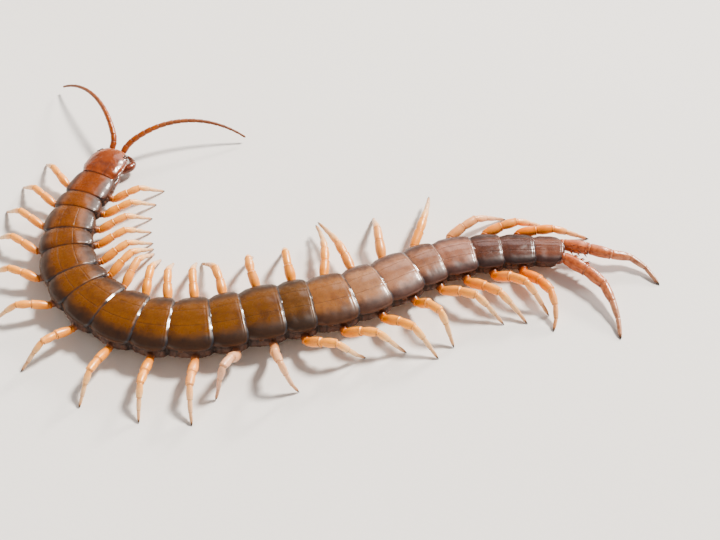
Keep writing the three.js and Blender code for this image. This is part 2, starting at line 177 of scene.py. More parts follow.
def shell(grid, values, thickness):
    # a closed thick sheet with a rounded rim, whose outer side is the grid
    rows, columns = grid.shape[:2]
    outward = outwardOf(grid)
    rim = [(0, c) for c in range(columns)] + [(r, columns - 1) for r in range(1, rows)]
    rim += [(rows - 1, c) for c in range(columns - 2, -1, -1)] + [(r, 0) for r in range(rows - 2, 0, -1)]
    r, c = np.array(rim).T
    edge, normal = grid[r, c], outward[r, c]
    away = unit(edge - grid[np.clip(r, 1, rows - 2), np.clip(c, 1, columns - 2)])
    rounding = [(0.3, 0.18), (0.42, 0.5), (0.25, 0.85)]  # outwards and down, as shares of the thickness
    loops = [edge + (away * wide - normal * deep) * thickness for wide, deep in rounding]
    points = np.concatenate([grid.reshape(-1, 3), (grid - outward * thickness).reshape(-1, 3), *loops])
    count, size = rows * columns, len(rim)
    faces = sheetFaces(rows, columns) + flipped(sheetFaces(rows, columns, first=count))
    before = r * columns + c
    levels = [2 * count + k * size + np.arange(size) for k in range(len(loops))]
    for after in [*levels, before + count]:
        for i in range(size):
            j = (i + 1) % size
            faces.append((before[j], before[i], after[i], after[j]))
        before = after
    flat = {}
    for key, value in values.items():
        value = np.broadcast_to(value, (rows, columns))
        flat[key] = np.concatenate([value.ravel(), value.ravel(), np.tile(value[r, c], len(loops))])
    return points, faces, flat


def tube(centres, radii, sides, values, ways=None, tall=1.0):
    # a closed round body; radii may hold one number for each ring or for each of its points
    centres = np.asarray(centres, float)
    ways = unit(np.gradient(centres, axis=0) if ways is None else np.asarray(ways, float))
    side = unit(np.cross(ways, up))
    above = np.cross(side, ways)
    angle = turns(sides)
    radii = np.asarray(radii, float)
    reach = (radii[:, None] if radii.ndim == 1 else radii) * np.ones(sides)
    points = centres[:, None] + side[:, None] * (reach * np.cos(angle))[..., None]
    points = points + above[:, None] * (reach * tall * np.sin(angle))[..., None]
    points = np.concatenate([points.reshape(-1, 3), centres[[0, -1]]])
    rings = len(centres)
    faces = flipped(sheetFaces(rings, sides, closed=True))
    last, end = (rings - 1) * sides, rings * sides
    for c in range(sides):
        d = (c + 1) % sides
        faces += [(end, c, d), (end + 1, last + d, last + c)]
    flat = {}
    for key, value in values.items():
        value = np.broadcast_to(value, rings).astype(float)
        flat[key] = np.concatenate([np.repeat(value, sides), value[[0, -1]]])
    # where a point lies on its ring: sideways and upwards, both from -1 to 1
    for key, value in (("sideways", np.cos(angle)), ("upwards", np.sin(angle))):
        flat[key] = np.concatenate([np.tile(value, rings), [0, 0]])
    return points, faces, flat


def bossRings(centre, first, second, out, bands, rise, sides):
    # a low round form: rings as wide as bands in the plane of first and second, which rise along out
    angle = turns(sides)
    ring = first * np.cos(angle)[:, None] + second * np.sin(angle)[:, None]
    return centre + ring * bands[:, None, None] + out * rise[:, None, None]


def joined(parts):
    points, faces, values, first = [], [], {}, 0
    keys = sorted({key for part in parts for key in part[2]})
    for partPoints, partFaces, partValues in parts:
        points.append(partPoints)
        faces += [tuple(first + i for i in face) for face in partFaces]
        for key in keys:
            values.setdefault(key, []).append(partValues.get(key, np.zeros(len(partPoints))))
        first += len(partPoints)
    return np.concatenate(points), faces, {key: np.concatenate(values[key]) for key in keys}


def addObject(name, data):
    added = bpy.data.objects.new(name, data)
    bpy.context.scene.collection.objects.link(added)
    return added


def addMesh(name, points, faces, paint):
    mesh = bpy.data.meshes.new(name)
    mesh.from_pydata(points.tolist(), [], [tuple(int(i) for i in face) for face in faces])
    mesh.polygons.foreach_set("use_smooth", [True] * len(mesh.polygons))
    mesh.materials.append(paints[paint])
    return addObject(name, mesh)


def makePiece(name, shape, paint, stands=()):
    points, faces, values = shape
    points[:, 2] = np.maximum(points[:, 2], 0.004)  # nothing dips into the floor
    piece = addMesh(name, points * mm, faces, paint)
    for key, value in values.items():
        layer = piece.data.attributes.new(key, "FLOAT", "POINT")
        layer.data.foreach_set("value", np.asarray(value, np.float32))
    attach(piece, "root")
    if stands:
        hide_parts(*stands)


# The middle line of the trunk

lengths, widths, headings = np.array(trunk["plates"], float).T
starts = np.concatenate([[0], np.cumsum(lengths)])
trunkLength = starts[-1]
plateCount = len(lengths)
legNumbers = range(1, plateCount)
middles = starts[:-1] + lengths / 2
lineSteps = round(trunkLength / trunk["step"])
linePlaces = np.arange(lineSteps + 1) * trunkLength / lineSteps
halfPlaces = (linePlaces[1:] + linePlaces[:-1]) / 2
strides = wayTo(np.interp(halfPlaces, middles, headings)) * trunkLength / lineSteps
line = np.array(trunk["tailEnd"]) + np.concatenate([np.cumsum(strides[::-1], 0)[::-1], np.zeros((1, 3))])


def trunkPlace(distance):
    # point on the floor, ways to the tail and to the animal's left, width and height
    distance = np.asarray(distance, float)
    inside = np.clip(distance, 0, trunkLength)
    point = np.stack([np.interp(inside, linePlaces, line[:, k]) for k in range(3)], -1)
    back = wayTo(np.interp(distance, middles, headings) + 180)
    point = point + back * (distance - inside)[..., None]
    width = np.interp(distance, middles, widths)
    return point, back, np.cross(back, up), width, width * trunk["tallness"]


def onTrunk(distance, x, z):
    # x is a share of half the width, to the left, and z a share of the height
    point, _, left, width, height = trunkPlace(distance)
    return point + left * (x * width / 2)[..., None] + up * (trunk["belly"] + height * z)[..., None]


print("stage: middle line", round(trunkLength, 1), "mm")


# Materials. A wire is a value or a colour on its way through a material's nodes.

class Wire:
    def __init__(self, paint, socket):
        self.paint = paint
        self.socket = socket

    def math(self, operation, *others):
        return self.paint.node("ShaderNodeMath", {"operation": operation}, dict(enumerate(others)))

    def __add__(self, other):
        return self.math("ADD", self, other)

    def __sub__(self, other):
        return self.math("SUBTRACT", self, other)

    def __mul__(self, other):
        return self.math("MULTIPLY", self, other)

    def __rsub__(self, other):
        return self.math("SUBTRACT", other, self)

    def __abs__(self):
        return self.math("ABSOLUTE", self)

    __radd__ = __add__
    __rmul__ = __mul__


class Paint:
    def __init__(self, name):
        self.material = bpy.data.materials.new(name)
        self.material.use_nodes = True
        self.tree = self.material.node_tree
        self.tree.nodes.clear()

    def node(self, kind, settings=None, inputs=None, output=0):
        made = self.tree.nodes.new(kind)
        for key, value in (settings or {}).items():
            if key == "stops":
                stops = made.color_ramp.elements
                while len(stops) < len(value):
                    stops.new(0.5)
                for stop, (place, colour) in zip(stops, value):
                    stop.position = place
                    stop.color = (*colour, 1.0)
            else:
                setattr(made, key, value)
        for key, value in (inputs or {}).items():
            if isinstance(value, Wire):
                self.tree.links.new(value.socket, made.inputs[key])
            elif isinstance(value, tuple) and made.inputs[key].type == "RGBA":
                made.inputs[key].default_value = (*value, 1.0)
            else:
                made.inputs[key].default_value = value
        return Wire(self, made.outputs[output])

    def value(self, name):
        # what the mesh says of each point
        return self.node("ShaderNodeAttribute", {"attribute_name": name}, output="Fac")

    def values(self, *names):
        return [self.value(name) for name in names]

    def place(self):
        return self.node("ShaderNodeTexCoord", output="Object")

    def noise(self, size, detail, rough=0.55, stretch=None):
        # size in millimetres
        at = self.place()
        if stretch:
            at = self.node("ShaderNodeVectorMath", {"operation": "MULTIPLY"}, {0: at, 1: stretch})
        sockets = {"Vector": at, "Scale": 1000 / size, "Detail": detail, "Roughness": rough}
        return self.node("ShaderNodeTexNoise", {}, sockets)

    def streaks(self, along, count, fine):
        # noise drawn out along a tube: along runs from joint to joint, count is streaks around it
        sideways, upwards = (value * (count / 6) for value in self.values("sideways", "upwards"))
        at = self.node("ShaderNodeCombineXYZ", {}, {"X": sideways, "Y": upwards, "Z": along * fine})
        sockets = {"Vector": at, "Scale": 1.0, "Detail": 4.0, "Roughness": 0.6}
        return self.node("ShaderNodeTexNoise", {}, sockets)

    def cells(self, size, feature="F1"):
        sockets = {"Vector": self.place(), "Scale": 1000 / size}
        return self.node("ShaderNodeTexVoronoi", {"feature": feature}, sockets, "Distance")

    def pits(self, size, low=0.02, high=0.12):
        # 0 in the middle of each pit, 1 around it
        return self.fade(self.cells(size), low, high)

    def hinge(self, rim, low, high):
        # the spots on both sides of each joint
        return self.fade(abs(self.value("sideways")), low, high) * self.fade(rim, 0.25, 0.8) * 0.8

    def ramp(self, value, stops):
        return self.node("ShaderNodeValToRGB", {"stops": stops}, {"Fac": value}, "Color")

    def fade(self, value, low, high):
        # 0 at low and 1 at high, smooth between
        sockets = {"Value": value, "From Min": low, "From Max": high}
        return self.node("ShaderNodeMapRange", {"interpolation_type": "SMOOTHSTEP"}, sockets)

    def mix(self, share, first, second, blend="MIX"):
        settings = {"data_type": "RGBA", "blend_type": blend, "clamp_factor": True}
        return self.node("ShaderNodeMix", settings, {0: share, 6: first, 7: second}, 2)

    def tint(self, colour, tone):
        return self.mix(1.0, colour, tone, "MULTIPLY")

    def layers(self, colour, *coats):
        # each coat is a share and a colour, laid over what is there
        for share, coat in coats:
            colour = self.mix(share, colour, coat)
        return colour

    def bumps(self, *heights):
        # each is a height from 0 to 1 and its depth in millimetres
        normal = {}
        for height, depth in heights:
            sockets = {"Height": height, "Distance": depth * mm, "Strength": 1.0, **normal}
            normal = {"Normal": self.node("ShaderNodeBump", {}, sockets)}
        return normal["Normal"]

    def finish(self, colour, rough, normal, look):
        # coat and sheen are weight and roughness, glow is weight, reach of red, green and blue, and its scale
        inputs = {"Base Color": colour, "Roughness": rough, "Normal": normal, "IOR": look.get("ior", 1.5)}
        inputs.update(zip(("Coat Weight", "Coat Roughness"), look.get("coat", ())))
        inputs.update(zip(("Sheen Weight", "Sheen Roughness"), look.get("sheen", ())))
        inputs.update(zip(("Subsurface Weight", "Subsurface Radius", "Subsurface Scale"), look.get("glow", ())))
        shader = self.node("ShaderNodeBsdfPrincipled", {}, inputs)
        end = self.tree.nodes.new("ShaderNodeOutputMaterial")
        self.tree.links.new(shader.socket, end.inputs["Surface"])
        return self.material


def backPlatePaint():
    look = {
        # colours along the trunk, from the first plate to the last; the lighter pinkish tan of plates 14 to 18 is
        # partly a painted sheen, and the darker amber of plates 12 and 13 partly painted shade
        "tones": [
            (0.00, (0.230, 0.052, 0.008)), (0.08, (0.190, 0.058, 0.007)), (0.25, (0.155, 0.053, 0.007)),
            (0.45, (0.160, 0.058, 0.008)), (0.55, (0.142, 0.053, 0.008)), (0.60, (0.122, 0.051, 0.011)),
            (0.645, (0.270, 0.112, 0.036)), (0.70, (0.340, 0.170, 0.090)), (0.74, (0.325, 0.157, 0.090)),
            (0.785, (0.262, 0.120, 0.068)), (0.833, (0.300, 0.135, 0.084)), (0.878, (0.098, 0.032, 0.016)),
            (0.94, (0.084, 0.026, 0.013)), (1.00, (0.240, 0.092, 0.054)),
        ],
        "blotch": (0.62, 0.55, 0.50),  # how much darker the blotches and the stripe over the heart are
        "paintedSideShade": (0.22, 0.20, 0.26),  # how much darker the steep sides are: partly their own darker tone, partly painted shade
        "margin": (0.26, 0.085, 0.016),
        "suture": (0.045, 0.018, 0.007),
        "band": (0.026, 0.029, 0.036),  # dark edge at the rear of each plate
        "bandReach": (0.965, 1.02),
        "rough": 0.24, "coat": (0.25, 0.12), "ior": 1.48, "glow": (0.06, (1.0, 0.45, 0.2), 0.4 * mm),
    }
    paint = Paint("waxyBackPlate")
    body, along, across, grooved = paint.values("body", "along", "across", "grooved")
    blotch, cloud, grain = paint.noise(2.6, 5), paint.noise(0.7, 6), paint.noise(0.12, 3)
    side = abs(across)
    colour = paint.ramp(body + (blotch - 0.5) * 0.05, look["tones"])
    darker = paint.tint(colour, look["blotch"])
    colour = paint.mix(paint.fade(blotch * 0.6 + cloud * 0.4, 0.44, 0.66), colour, darker)
    # the steep sides, near and far, are darkened: partly their own darker tone, partly painted shade
    steep = paint.fade(side + (blotch - 0.5) * 0.16 + (cloud - 0.5) * 0.10, 0.40, 0.74)
    heart = 1 - paint.fade(side + (cloud - 0.5) * 0.2, 0.02, 0.26)
    suture = (1 - paint.fade(abs(side - trunk["sutures"]), 0.003, 0.015)) * grooved
    band = paint.fade(along + (cloud - 0.5) * 0.04, *look["bandReach"])
    pits = (1 - paint.pits(0.55, high=0.13)) * paint.fade(paint.noise(1.4, 2), 0.52, 0.62)
    colour = paint.layers(
        colour,
        (steep * 0.95, paint.tint(colour, look["paintedSideShade"])),
        (heart * 0.30, darker),
        (paint.fade(side, 0.90, 0.98) * 0.12, look["margin"]),
        (suture * 0.45, look["suture"]),
        (band * 0.9, look["band"]),
        (pits * 0.5, look["suture"]),
    )
    rough = look["rough"] + steep * 0.22 + (cloud - 0.5) * 0.22 + grain * 0.06 + pits * 0.2 - band * 0.14
    facets = paint.fade(paint.cells(0.09, "DISTANCE_TO_EDGE"), 0.0, 0.06)
    normal = paint.bumps((grain, 0.003), (facets, 0.0006), (cloud, 0.008), (1 - pits, 0.012))
    return paint.finish(colour, rough, normal, look)


def skinPaint():
    look = {
        # the darkest skin colour is painted shade, laid into the creases, the grooves between the leather cells and
        # the wrinkle valleys
        "skin": (0.074, 0.032, 0.020), "creaseShade": (0.022, 0.010, 0.007), "pale": (0.105, 0.054, 0.038),
        "scale": (0.090, 0.036, 0.018),  # the small hard scales in the skin of the sides
        "belly": (0.180, 0.085, 0.035),
        "rough": 0.52, "coat": (0.06, 0.35), "glow": (0.08, (1.0, 0.4, 0.25), 0.5 * mm),
    }
    paint = Paint("softSideSkin")
    height, hard, crease = paint.values("height", "hard", "crease")
    cloud, grain = paint.noise(1.1, 5), paint.noise(0.15, 4)
    wrinkles = paint.noise(0.5, 4, 0.6, (1.0, 1.0, 0.25))
    leather = paint.fade(paint.cells(0.2, "DISTANCE_TO_EDGE"), 0.0, 0.11)
    soft = 1 - paint.fade(hard, 0.3, 0.6)
    # the layers with the darkest skin colour are painted shade in the creases, leather grooves and wrinkle valleys
    colour = paint.layers(
        look["skin"],
        (paint.fade(cloud, 0.35, 0.7), look["pale"]),
        (1 - paint.fade(height, 0.02, 0.22), look["belly"]),
        (paint.fade(crease, 0.1, 0.8), look["creaseShade"]),
        (paint.fade(hard + (cloud - 0.5) * 0.3, 0.4, 0.6), look["scale"]),
        ((1 - leather) * soft * 0.2, look["creaseShade"]),
        (paint.fade(1 - wrinkles, 0.50, 0.64) * soft * 0.5, look["creaseShade"]),
    )
    rough = look["rough"] + (grain - 0.5) * 0.25 - hard * 0.16 + (wrinkles - 0.5) * 0.2
    normal = paint.bumps((wrinkles * soft, 0.13), (leather * soft, 0.010), (grain, 0.012))
    return paint.finish(colour, rough, normal, look)


def bellyPlatePaint():
    look = {
        "plate": (0.330, 0.170, 0.065), "shade": (0.200, 0.090, 0.035), "edge": (0.12, 0.06, 0.03),
        "rough": 0.34, "coat": (0.3, 0.18), "ior": 1.53,
    }
    paint = Paint("bellyPlate")
    along, across = paint.values("along", "across")
    across = abs(across)
    cloud, grain = paint.noise(1.2, 5), paint.noise(0.12, 3)
    rim = paint.fade(across, 0.9, 0.99) + paint.fade(along, 0.9, 0.98)
    suture = 1 - paint.fade(abs(across - bellyPlate["suture"][0]), 0.006, 0.02)
    colour = paint.layers(
        look["plate"],
        (paint.fade(cloud, 0.35, 0.68), look["shade"]),
        (rim * 0.6, look["edge"]),
        (suture * 0.6, look["edge"]),
    )
    rough = look["rough"] + (cloud - 0.5) * 0.2
    return paint.finish(colour, rough, paint.bumps((grain, 0.004), (cloud, 0.03)), look)


def walkingLegPaint():
    look = {
        # along a leg, from the trunk to the claw
        "warm": [
            (0.02, (0.110, 0.035, 0.012)), (0.12, (0.660, 0.190, 0.018)), (0.20, (0.960, 0.335, 0.032)),
            (0.48, (0.970, 0.405, 0.066)), (0.60, (0.910, 0.510, 0.200)), (0.76, (0.780, 0.510, 0.280)),
            (1.00, (0.620, 0.340, 0.170)),
        ],
        "pale": [
            (0.02, (0.220, 0.100, 0.055)), (0.14, (0.600, 0.300, 0.150)), (0.34, (0.780, 0.440, 0.270)),
            (0.70, (0.740, 0.440, 0.300)), (1.00, (0.480, 0.250, 0.140)),
        ],
        "red": (0.90, 0.56, 0.36),  # what makes the last legs redder
        "shade": (0.76, 0.66, 0.58),
        "skin": (0.78, 0.42, 0.17), "rim": (0.34, 0.10, 0.025), "hinge": (0.060, 0.022, 0.010),
        "rough": 0.34, "coat": (0.3, 0.2), "ior": 1.5, "glow": (0.12, (1.0, 0.45, 0.2), 0.5 * mm),
    }
    paint = Paint("walkingLeg")
    article, warmth, joint, redness, rim, top = paint.values(
        "article", "warmth", "joint", "redness", "rim", "upwards"
    )
    cloud, grain, mottle = paint.noise(0.9, 5), paint.noise(0.1, 3), paint.noise(0.35, 4)
    streak = paint.streaks(article, 18, 24.0)
    at = article + (cloud - 0.5) * 0.05
    colour = paint.mix(warmth, paint.ramp(at, look["pale"]), paint.ramp(at, look["warm"]))
    colour = paint.mix(redness, colour, paint.tint(colour, look["red"]))
    shade = paint.tint(colour, look["shade"])
    colour = paint.layers(
        colour,
        (paint.fade(mottle * 0.5 + cloud * 0.5, 0.47, 0.66) * 0.5, shade),
        (paint.fade(streak, 0.46, 0.70) * (0.12 + paint.fade(top, -0.5, 0.9) * 0.22), shade),
        (rim * 0.45, look["rim"]),
        (joint * 0.5, look["skin"]),
        (paint.hinge(rim, 0.80, 0.95), look["hinge"]),
    )
    rough = look["rough"] + (cloud - 0.5) * 0.2 + (streak - 0.5) * 0.2 + joint * 0.15
    normal = paint.bumps((grain, 0.004), (mottle, 0.015), (streak, 0.02), (paint.pits(0.3), 0.012))
    return paint.finish(colour, rough, normal, look)


def lastLegPaint():
    look = {
        "tones": [
            (0.02, (0.140, 0.035, 0.015)), (0.14, (0.480, 0.130, 0.040)), (0.45, (0.540, 0.170, 0.060)),
            (0.62, (0.540, 0.210, 0.100)), (0.78, (0.520, 0.270, 0.160)), (1.00, (0.460, 0.230, 0.130)),
        ],
        "shade": (0.66, 0.52, 0.48),
        "skin": (0.56, 0.30, 0.19), "rim": (0.26, 0.065, 0.030), "hinge": (0.045, 0.016, 0.010),
        "point": (0.018, 0.012, 0.010),
        "rough": 0.31, "coat": (0.35, 0.16), "ior": 1.52, "glow": (0.08, (1.0, 0.4, 0.2), 0.5 * mm),
    }
    paint = Paint("lastLeg")
    article, joint, rim, horn = paint.values("article", "joint", "rim", "horn")
    cloud, grain, streak = paint.noise(0.9, 5), paint.noise(0.1, 3), paint.streaks(article, 20, 22.0)
    colour = paint.ramp(article + (cloud - 0.5) * 0.05, look["tones"])
    shade = paint.tint(colour, look["shade"])
    colour = paint.layers(
        colour,
        (paint.fade(cloud, 0.42, 0.66), shade),
        (paint.fade(streak, 0.48, 0.70) * 0.35, shade),
        (rim * 0.5, look["rim"]),
        (joint * 0.35, look["skin"]),
        (paint.hinge(rim, 0.84, 0.96), look["hinge"]),
        (paint.fade(horn, 0.35, 0.8), look["point"]),
    )
    rough = look["rough"] + (cloud - 0.5) * 0.2 + (streak - 0.5) * 0.15
    normal = paint.bumps((grain, 0.004), (cloud, 0.03), (paint.pits(0.35), 0.012), (streak, 0.03))
    return paint.finish(colour, rough, normal, look)


def headPaint():
    look = {
        "shield": (0.250, 0.055, 0.011), "shade": (0.130, 0.028, 0.008),
        "front": (0.340, 0.085, 0.016), "edge": (0.070, 0.026, 0.014),
        "rough": 0.27, "coat": (0.5, 0.12), "ior": 1.53, "glow": (0.06, (1.0, 0.4, 0.2), 0.4 * mm),
    }
    paint = Paint("headShield")
    along, across = paint.values("along", "across")
    across = abs(across)
    cloud, grain = paint.noise(1.6, 5), paint.noise(0.1, 3)
    suture = (1 - paint.fade(abs(across - 0.3), 0.006, 0.022)) * (1 - paint.fade(along, 0.2, 0.4))
    colour = paint.layers(
        look["shield"],
        (paint.fade(cloud, 0.35, 0.7), look["shade"]),
        (paint.fade(along, 0.6, 0.98) * 0.7, look["front"]),
        (paint.fade(across, 0.95, 1.0) * 0.7 + suture * 0.6, look["edge"]),
    )
    normal = paint.bumps((grain, 0.004), (cloud, 0.03), (paint.pits(0.32, high=0.14), 0.006))
    return paint.finish(colour, look["rough"] + (cloud - 0.5) * 0.18, normal, look)


def feelerPaint():
    look = {
        "tones": [
            (0.00, (0.290, 0.062, 0.010)), (0.28, (0.400, 0.100, 0.014)), (0.36, (0.330, 0.090, 0.018)),
            (0.60, (0.280, 0.078, 0.018)), (1.00, (0.200, 0.062, 0.018)),
        ],
        "shade": (0.60, 0.50, 0.45), "waist": (0.120, 0.036, 0.012),
        "down": (0.520, 0.210, 0.060),
        "downReach": (0.3, 0.4),  # the short hairs start here, as shares of the feeler
        "rough": 0.27, "coat": (0.15, 0.25), "sheen": (0.06, 0.5),
    }
    paint = Paint("feeler")
    share, joint = paint.values("share", "joint")
    cloud, down, streak = paint.noise(0.8, 4), paint.noise(0.06, 4), paint.streaks(share, 14, 40.0)
    downy = paint.fade(share, *look["downReach"])
    colour = paint.ramp(share + (cloud - 0.5) * 0.08, look["tones"])
    shade = paint.tint(colour, look["shade"])
    colour = paint.layers(
        colour,
        (paint.fade(cloud, 0.45, 0.66), shade),
        (paint.fade(streak, 0.48, 0.66) * 0.6, shade),
        (joint * 0.75, look["waist"]),
        (paint.fade(down, 0.52, 0.70) * downy * 0.3, look["down"]),
    )
    rough = look["rough"] + downy * 0.26 + (cloud - 0.5) * 0.15 + (streak - 0.5) * 0.15
    normal = paint.bumps((streak, 0.02), (cloud, 0.02), (down, 0.010), (paint.pits(0.2, 0.03, 0.16), 0.012))
    return paint.finish(colour, rough, normal, look)


def poisonClawPaint():
    look = {
        "base": (0.180, 0.038, 0.011), "shade": (0.090, 0.020, 0.008), "rim": (0.055, 0.018, 0.010),
        "skin": (0.42, 0.20, 0.10), "point": (0.010, 0.007, 0.006),
        "rough": 0.24, "coat": (0.5, 0.1), "ior": 1.54,
    }
    paint = Paint("poisonClaw")
    horn, rim, joint = paint.values("horn", "rim", "joint")
    cloud, grain = paint.noise(1.1, 5), paint.noise(0.1, 3)
    colour = paint.layers(
        look["base"],
        (paint.fade(cloud, 0.35, 0.7), look["shade"]),
        (rim * 0.8, look["rim"]),
        (joint * 0.5, look["skin"]),
        (paint.fade(horn + (cloud - 0.5) * 0.2, 0.35, 0.8), look["point"]),
    )
    normal = paint.bumps((grain, 0.003), (cloud, 0.025), (paint.pits(0.3, high=0.13), 0.012))
    return paint.finish(colour, look["rough"] + (cloud - 0.5) * 0.16, normal, look)


def hornPaint():
    look = {
        "root": (0.200, 0.085, 0.035), "tip": (0.016, 0.010, 0.008),
        "rough": 0.28, "coat": (0.3, 0.15), "ior": 1.54,
    }
    paint = Paint("footClaw")
    cloud, grain = paint.noise(0.5, 4), paint.noise(0.08, 3)
    share = paint.fade(paint.value("horn") + (cloud - 0.5) * 0.3, 0.1, 0.7)
    colour = paint.mix(share, look["root"], look["tip"])
    return paint.finish(colour, look["rough"] + (cloud - 0.5) * 0.2, paint.bumps((grain, 0.004)), look)


def eyePaint():
    look = {
        "lens": (0.006, 0.005, 0.006), "ring": (0.13, 0.045, 0.018),
        "rough": 0.10, "coat": (0.8, 0.04), "ior": 1.5,
    }
    paint = Paint("blackEye")
    cloud = paint.noise(0.3, 3)
    ring = paint.fade(paint.value("socket"), 0.4, 0.6)
    rough = look["rough"] + ring * 0.25 + (cloud - 0.5) * 0.06
    return paint.finish(paint.mix(ring, look["lens"], look["ring"]), rough, paint.bumps((cloud, 0.004)), look)


def breathingHolePaint():
    # the near-black middle of each hole is painted shade in its opening
    look = {"rim": (0.16, 0.065, 0.025), "holeShade": (0.008, 0.005, 0.004), "rough": 0.4}
    paint = Paint("breathingHole")
    cloud = paint.noise(0.3, 3)
    share = paint.fade(paint.value("depth") + (cloud - 0.5) * 0.2, 0.3, 0.7)
    colour = paint.mix(share, look["rim"], look["holeShade"])
    return paint.finish(colour, look["rough"] + (cloud - 0.5) * 0.2, paint.bumps((cloud, 0.01)), look)


def floorPaint():
    look = {"low": (0.80, 0.775, 0.74), "high": (0.85, 0.825, 0.79), "rough": 0.75}
    paint = Paint("paleFloor")
    cloud, grain = paint.noise(60, 3), paint.noise(0.8, 3)
    colour = paint.mix(cloud, look["low"], look["high"])
    return paint.finish(colour, look["rough"] + grain * 0.1, paint.bumps((grain, 0.02)), look)


# Back plates: one domed shell for each, whose rear edge lies over the next one

backPlate = {
    "margin": 0.64,  # height of the plate's side edge, as a share of the trunk's height
    "round": (2.1, 0.68),  # how its back is arched
    # rows along a plate, as shares of its length, and columns across half of it, closer where it has detail
    "rows": [
        -0.06, -0.03, 0.0, 0.03, 0.06, 0.09, 0.115, 0.135, 0.16, 0.2, *np.linspace(0.25, 0.85, 19),
        0.875, 0.89, 0.905, 0.92, 0.94, 0.96, 0.98, 1.0, 1.02, 1.035,
    ],
    "columns": [
        0, 0.06, 0.12, 0.17, 0.21, 0.235, 0.25, 0.26, 0.27, 0.28, 0.29, 0.305, 0.33, 0.37, 0.42, 0.47, 0.52,
        0.57, 0.62, 0.67, 0.72, 0.77, 0.81, 0.845, 0.87, 0.89, 0.905, 0.92, 0.935, 0.95, 0.965, 0.98, 0.992, 1.0,
    ],
    "swell": [(-0.06, 0.87), (0.0, 0.895), (0.12, 0.95), (0.4, 1.0), (0.8, 1.01), (0.96, 0.992), (1.035, 0.985)],
    "corners": (0.10, 0.12),  # how far the front and rear corners are rounded off
    "tailBow": 0.28,  # how far the last plate's rear edge bows out
    "thickness": 0.13,
    "sutureFrom": 3,  # first plate with sutures
    "suture": (0.009, 0.05),  # width and depth
    "sutureReach": (0.02, 0.08, 0.9, 0.96),
    # a low ridge over the heart and a valley on each side: place, width, height, where each starts
    "ridges": [(0, 0.10, 0.05, (0.1, 0.4)), (0.55, 0.12, -0.05, (0.15, 0.45))],
    # the groove behind the collar and the one before the lip: place, width, height
    "grooves": [(0.135, 0.022, -0.01), (0.915, 0.02, -0.03)],
    "lip": (0.93, 1.06), "lipDrop": 0.26,  # where its rear edge bends down, and how far on a plate of 6 mm
    "edgeFrom": 5,  # first plate with raised side edges
    "edges": [(0.972, 0.022, 0.045), (0.925, 0.018, -0.0315)],
    "lastGroove": (0.02, -0.07),  # along the middle of the last plate: width, height
    "unevenness": [(2.4, 0.014, 40), (0.8, 0.003, 80)],  # size, height, seed
}


def archTable():
    # places across half an arch, measured along it, and where each lies
    x = np.sin(np.linspace(0, math.pi / 2, 400))
    power, close = backPlate["round"]
    z = backPlate["margin"] + (1 - backPlate["margin"]) * (1 - x**power) ** close
    length = np.concatenate([[0], np.cumsum(np.hypot(np.diff(x) / 2, np.diff(z) * trunk["tallness"]))])
    return length / length[-1], x, z


archPlaces, archX, archZ = archTable()


def makeBackPlate(index):
    look = backPlate
    number = index + 1
    half = np.array(look["columns"])
    v, a = np.meshgrid(look["rows"], np.concatenate([-half[:0:-1], half]), indexing="ij")
    side = np.abs(a)
    frontCorner, rearCorner = look["corners"]
    shift = frontCorner * side**7 * (1 - ramp(v, 0, 0.4)) - rearCorner * side**9 * ramp(v, 0.6, 1)
    if number == plateCount:
        shift = shift + look["tailBow"] * (1 - side**2) * ramp(v, 0.4, 1.1)
    swell = tableCurve(look["swell"], v)
    x = np.interp(side, archPlaces, archX) * np.sign(a)
    z = np.interp(side, archPlaces, archZ)
    grid = onTrunk(starts[index] + lengths[index] * (v + shift), x * swell, 0.5 + (z - 0.5) * swell)
    grooved = float(number >= look["sutureFrom"]) * window(v, *look["sutureReach"])
    width, depth = look["suture"]
    relief = -depth * hump(side, trunk["sutures"], width) * grooved
    for place, wide, height, reach in look["ridges"]:
        relief += height * hump(side, place, wide) * ramp(v, *reach)
    relief += humps(v, look["grooves"])
    relief -= look["lipDrop"] * ramp(v, *look["lip"]) * (6.0 / lengths[index])
    if number >= look["edgeFrom"]:
        relief += humps(side, look["edges"]) * ramp(v, 0.03, 0.2)
    if number == plateCount:
        width, height = look["lastGroove"]
        relief += height * hump(a, 0, width) * (1 - ramp(v, 0.7, 0.95))
    relief += sum(height * waviness(grid, size, seed + index) for size, height, seed in look["unevenness"])
    grid = raised(grid, relief, outwardOf(grid))
    values = {"along": v, "across": a, "body": (index + 0.5) / plateCount, "grooved": grooved}
    makePiece(f"backPlate{number:02d}", shell(grid, values, look["thickness"]), "backPlate")


# Skin of the trunk: one closed body under the plates, folded at the joints and along the sides

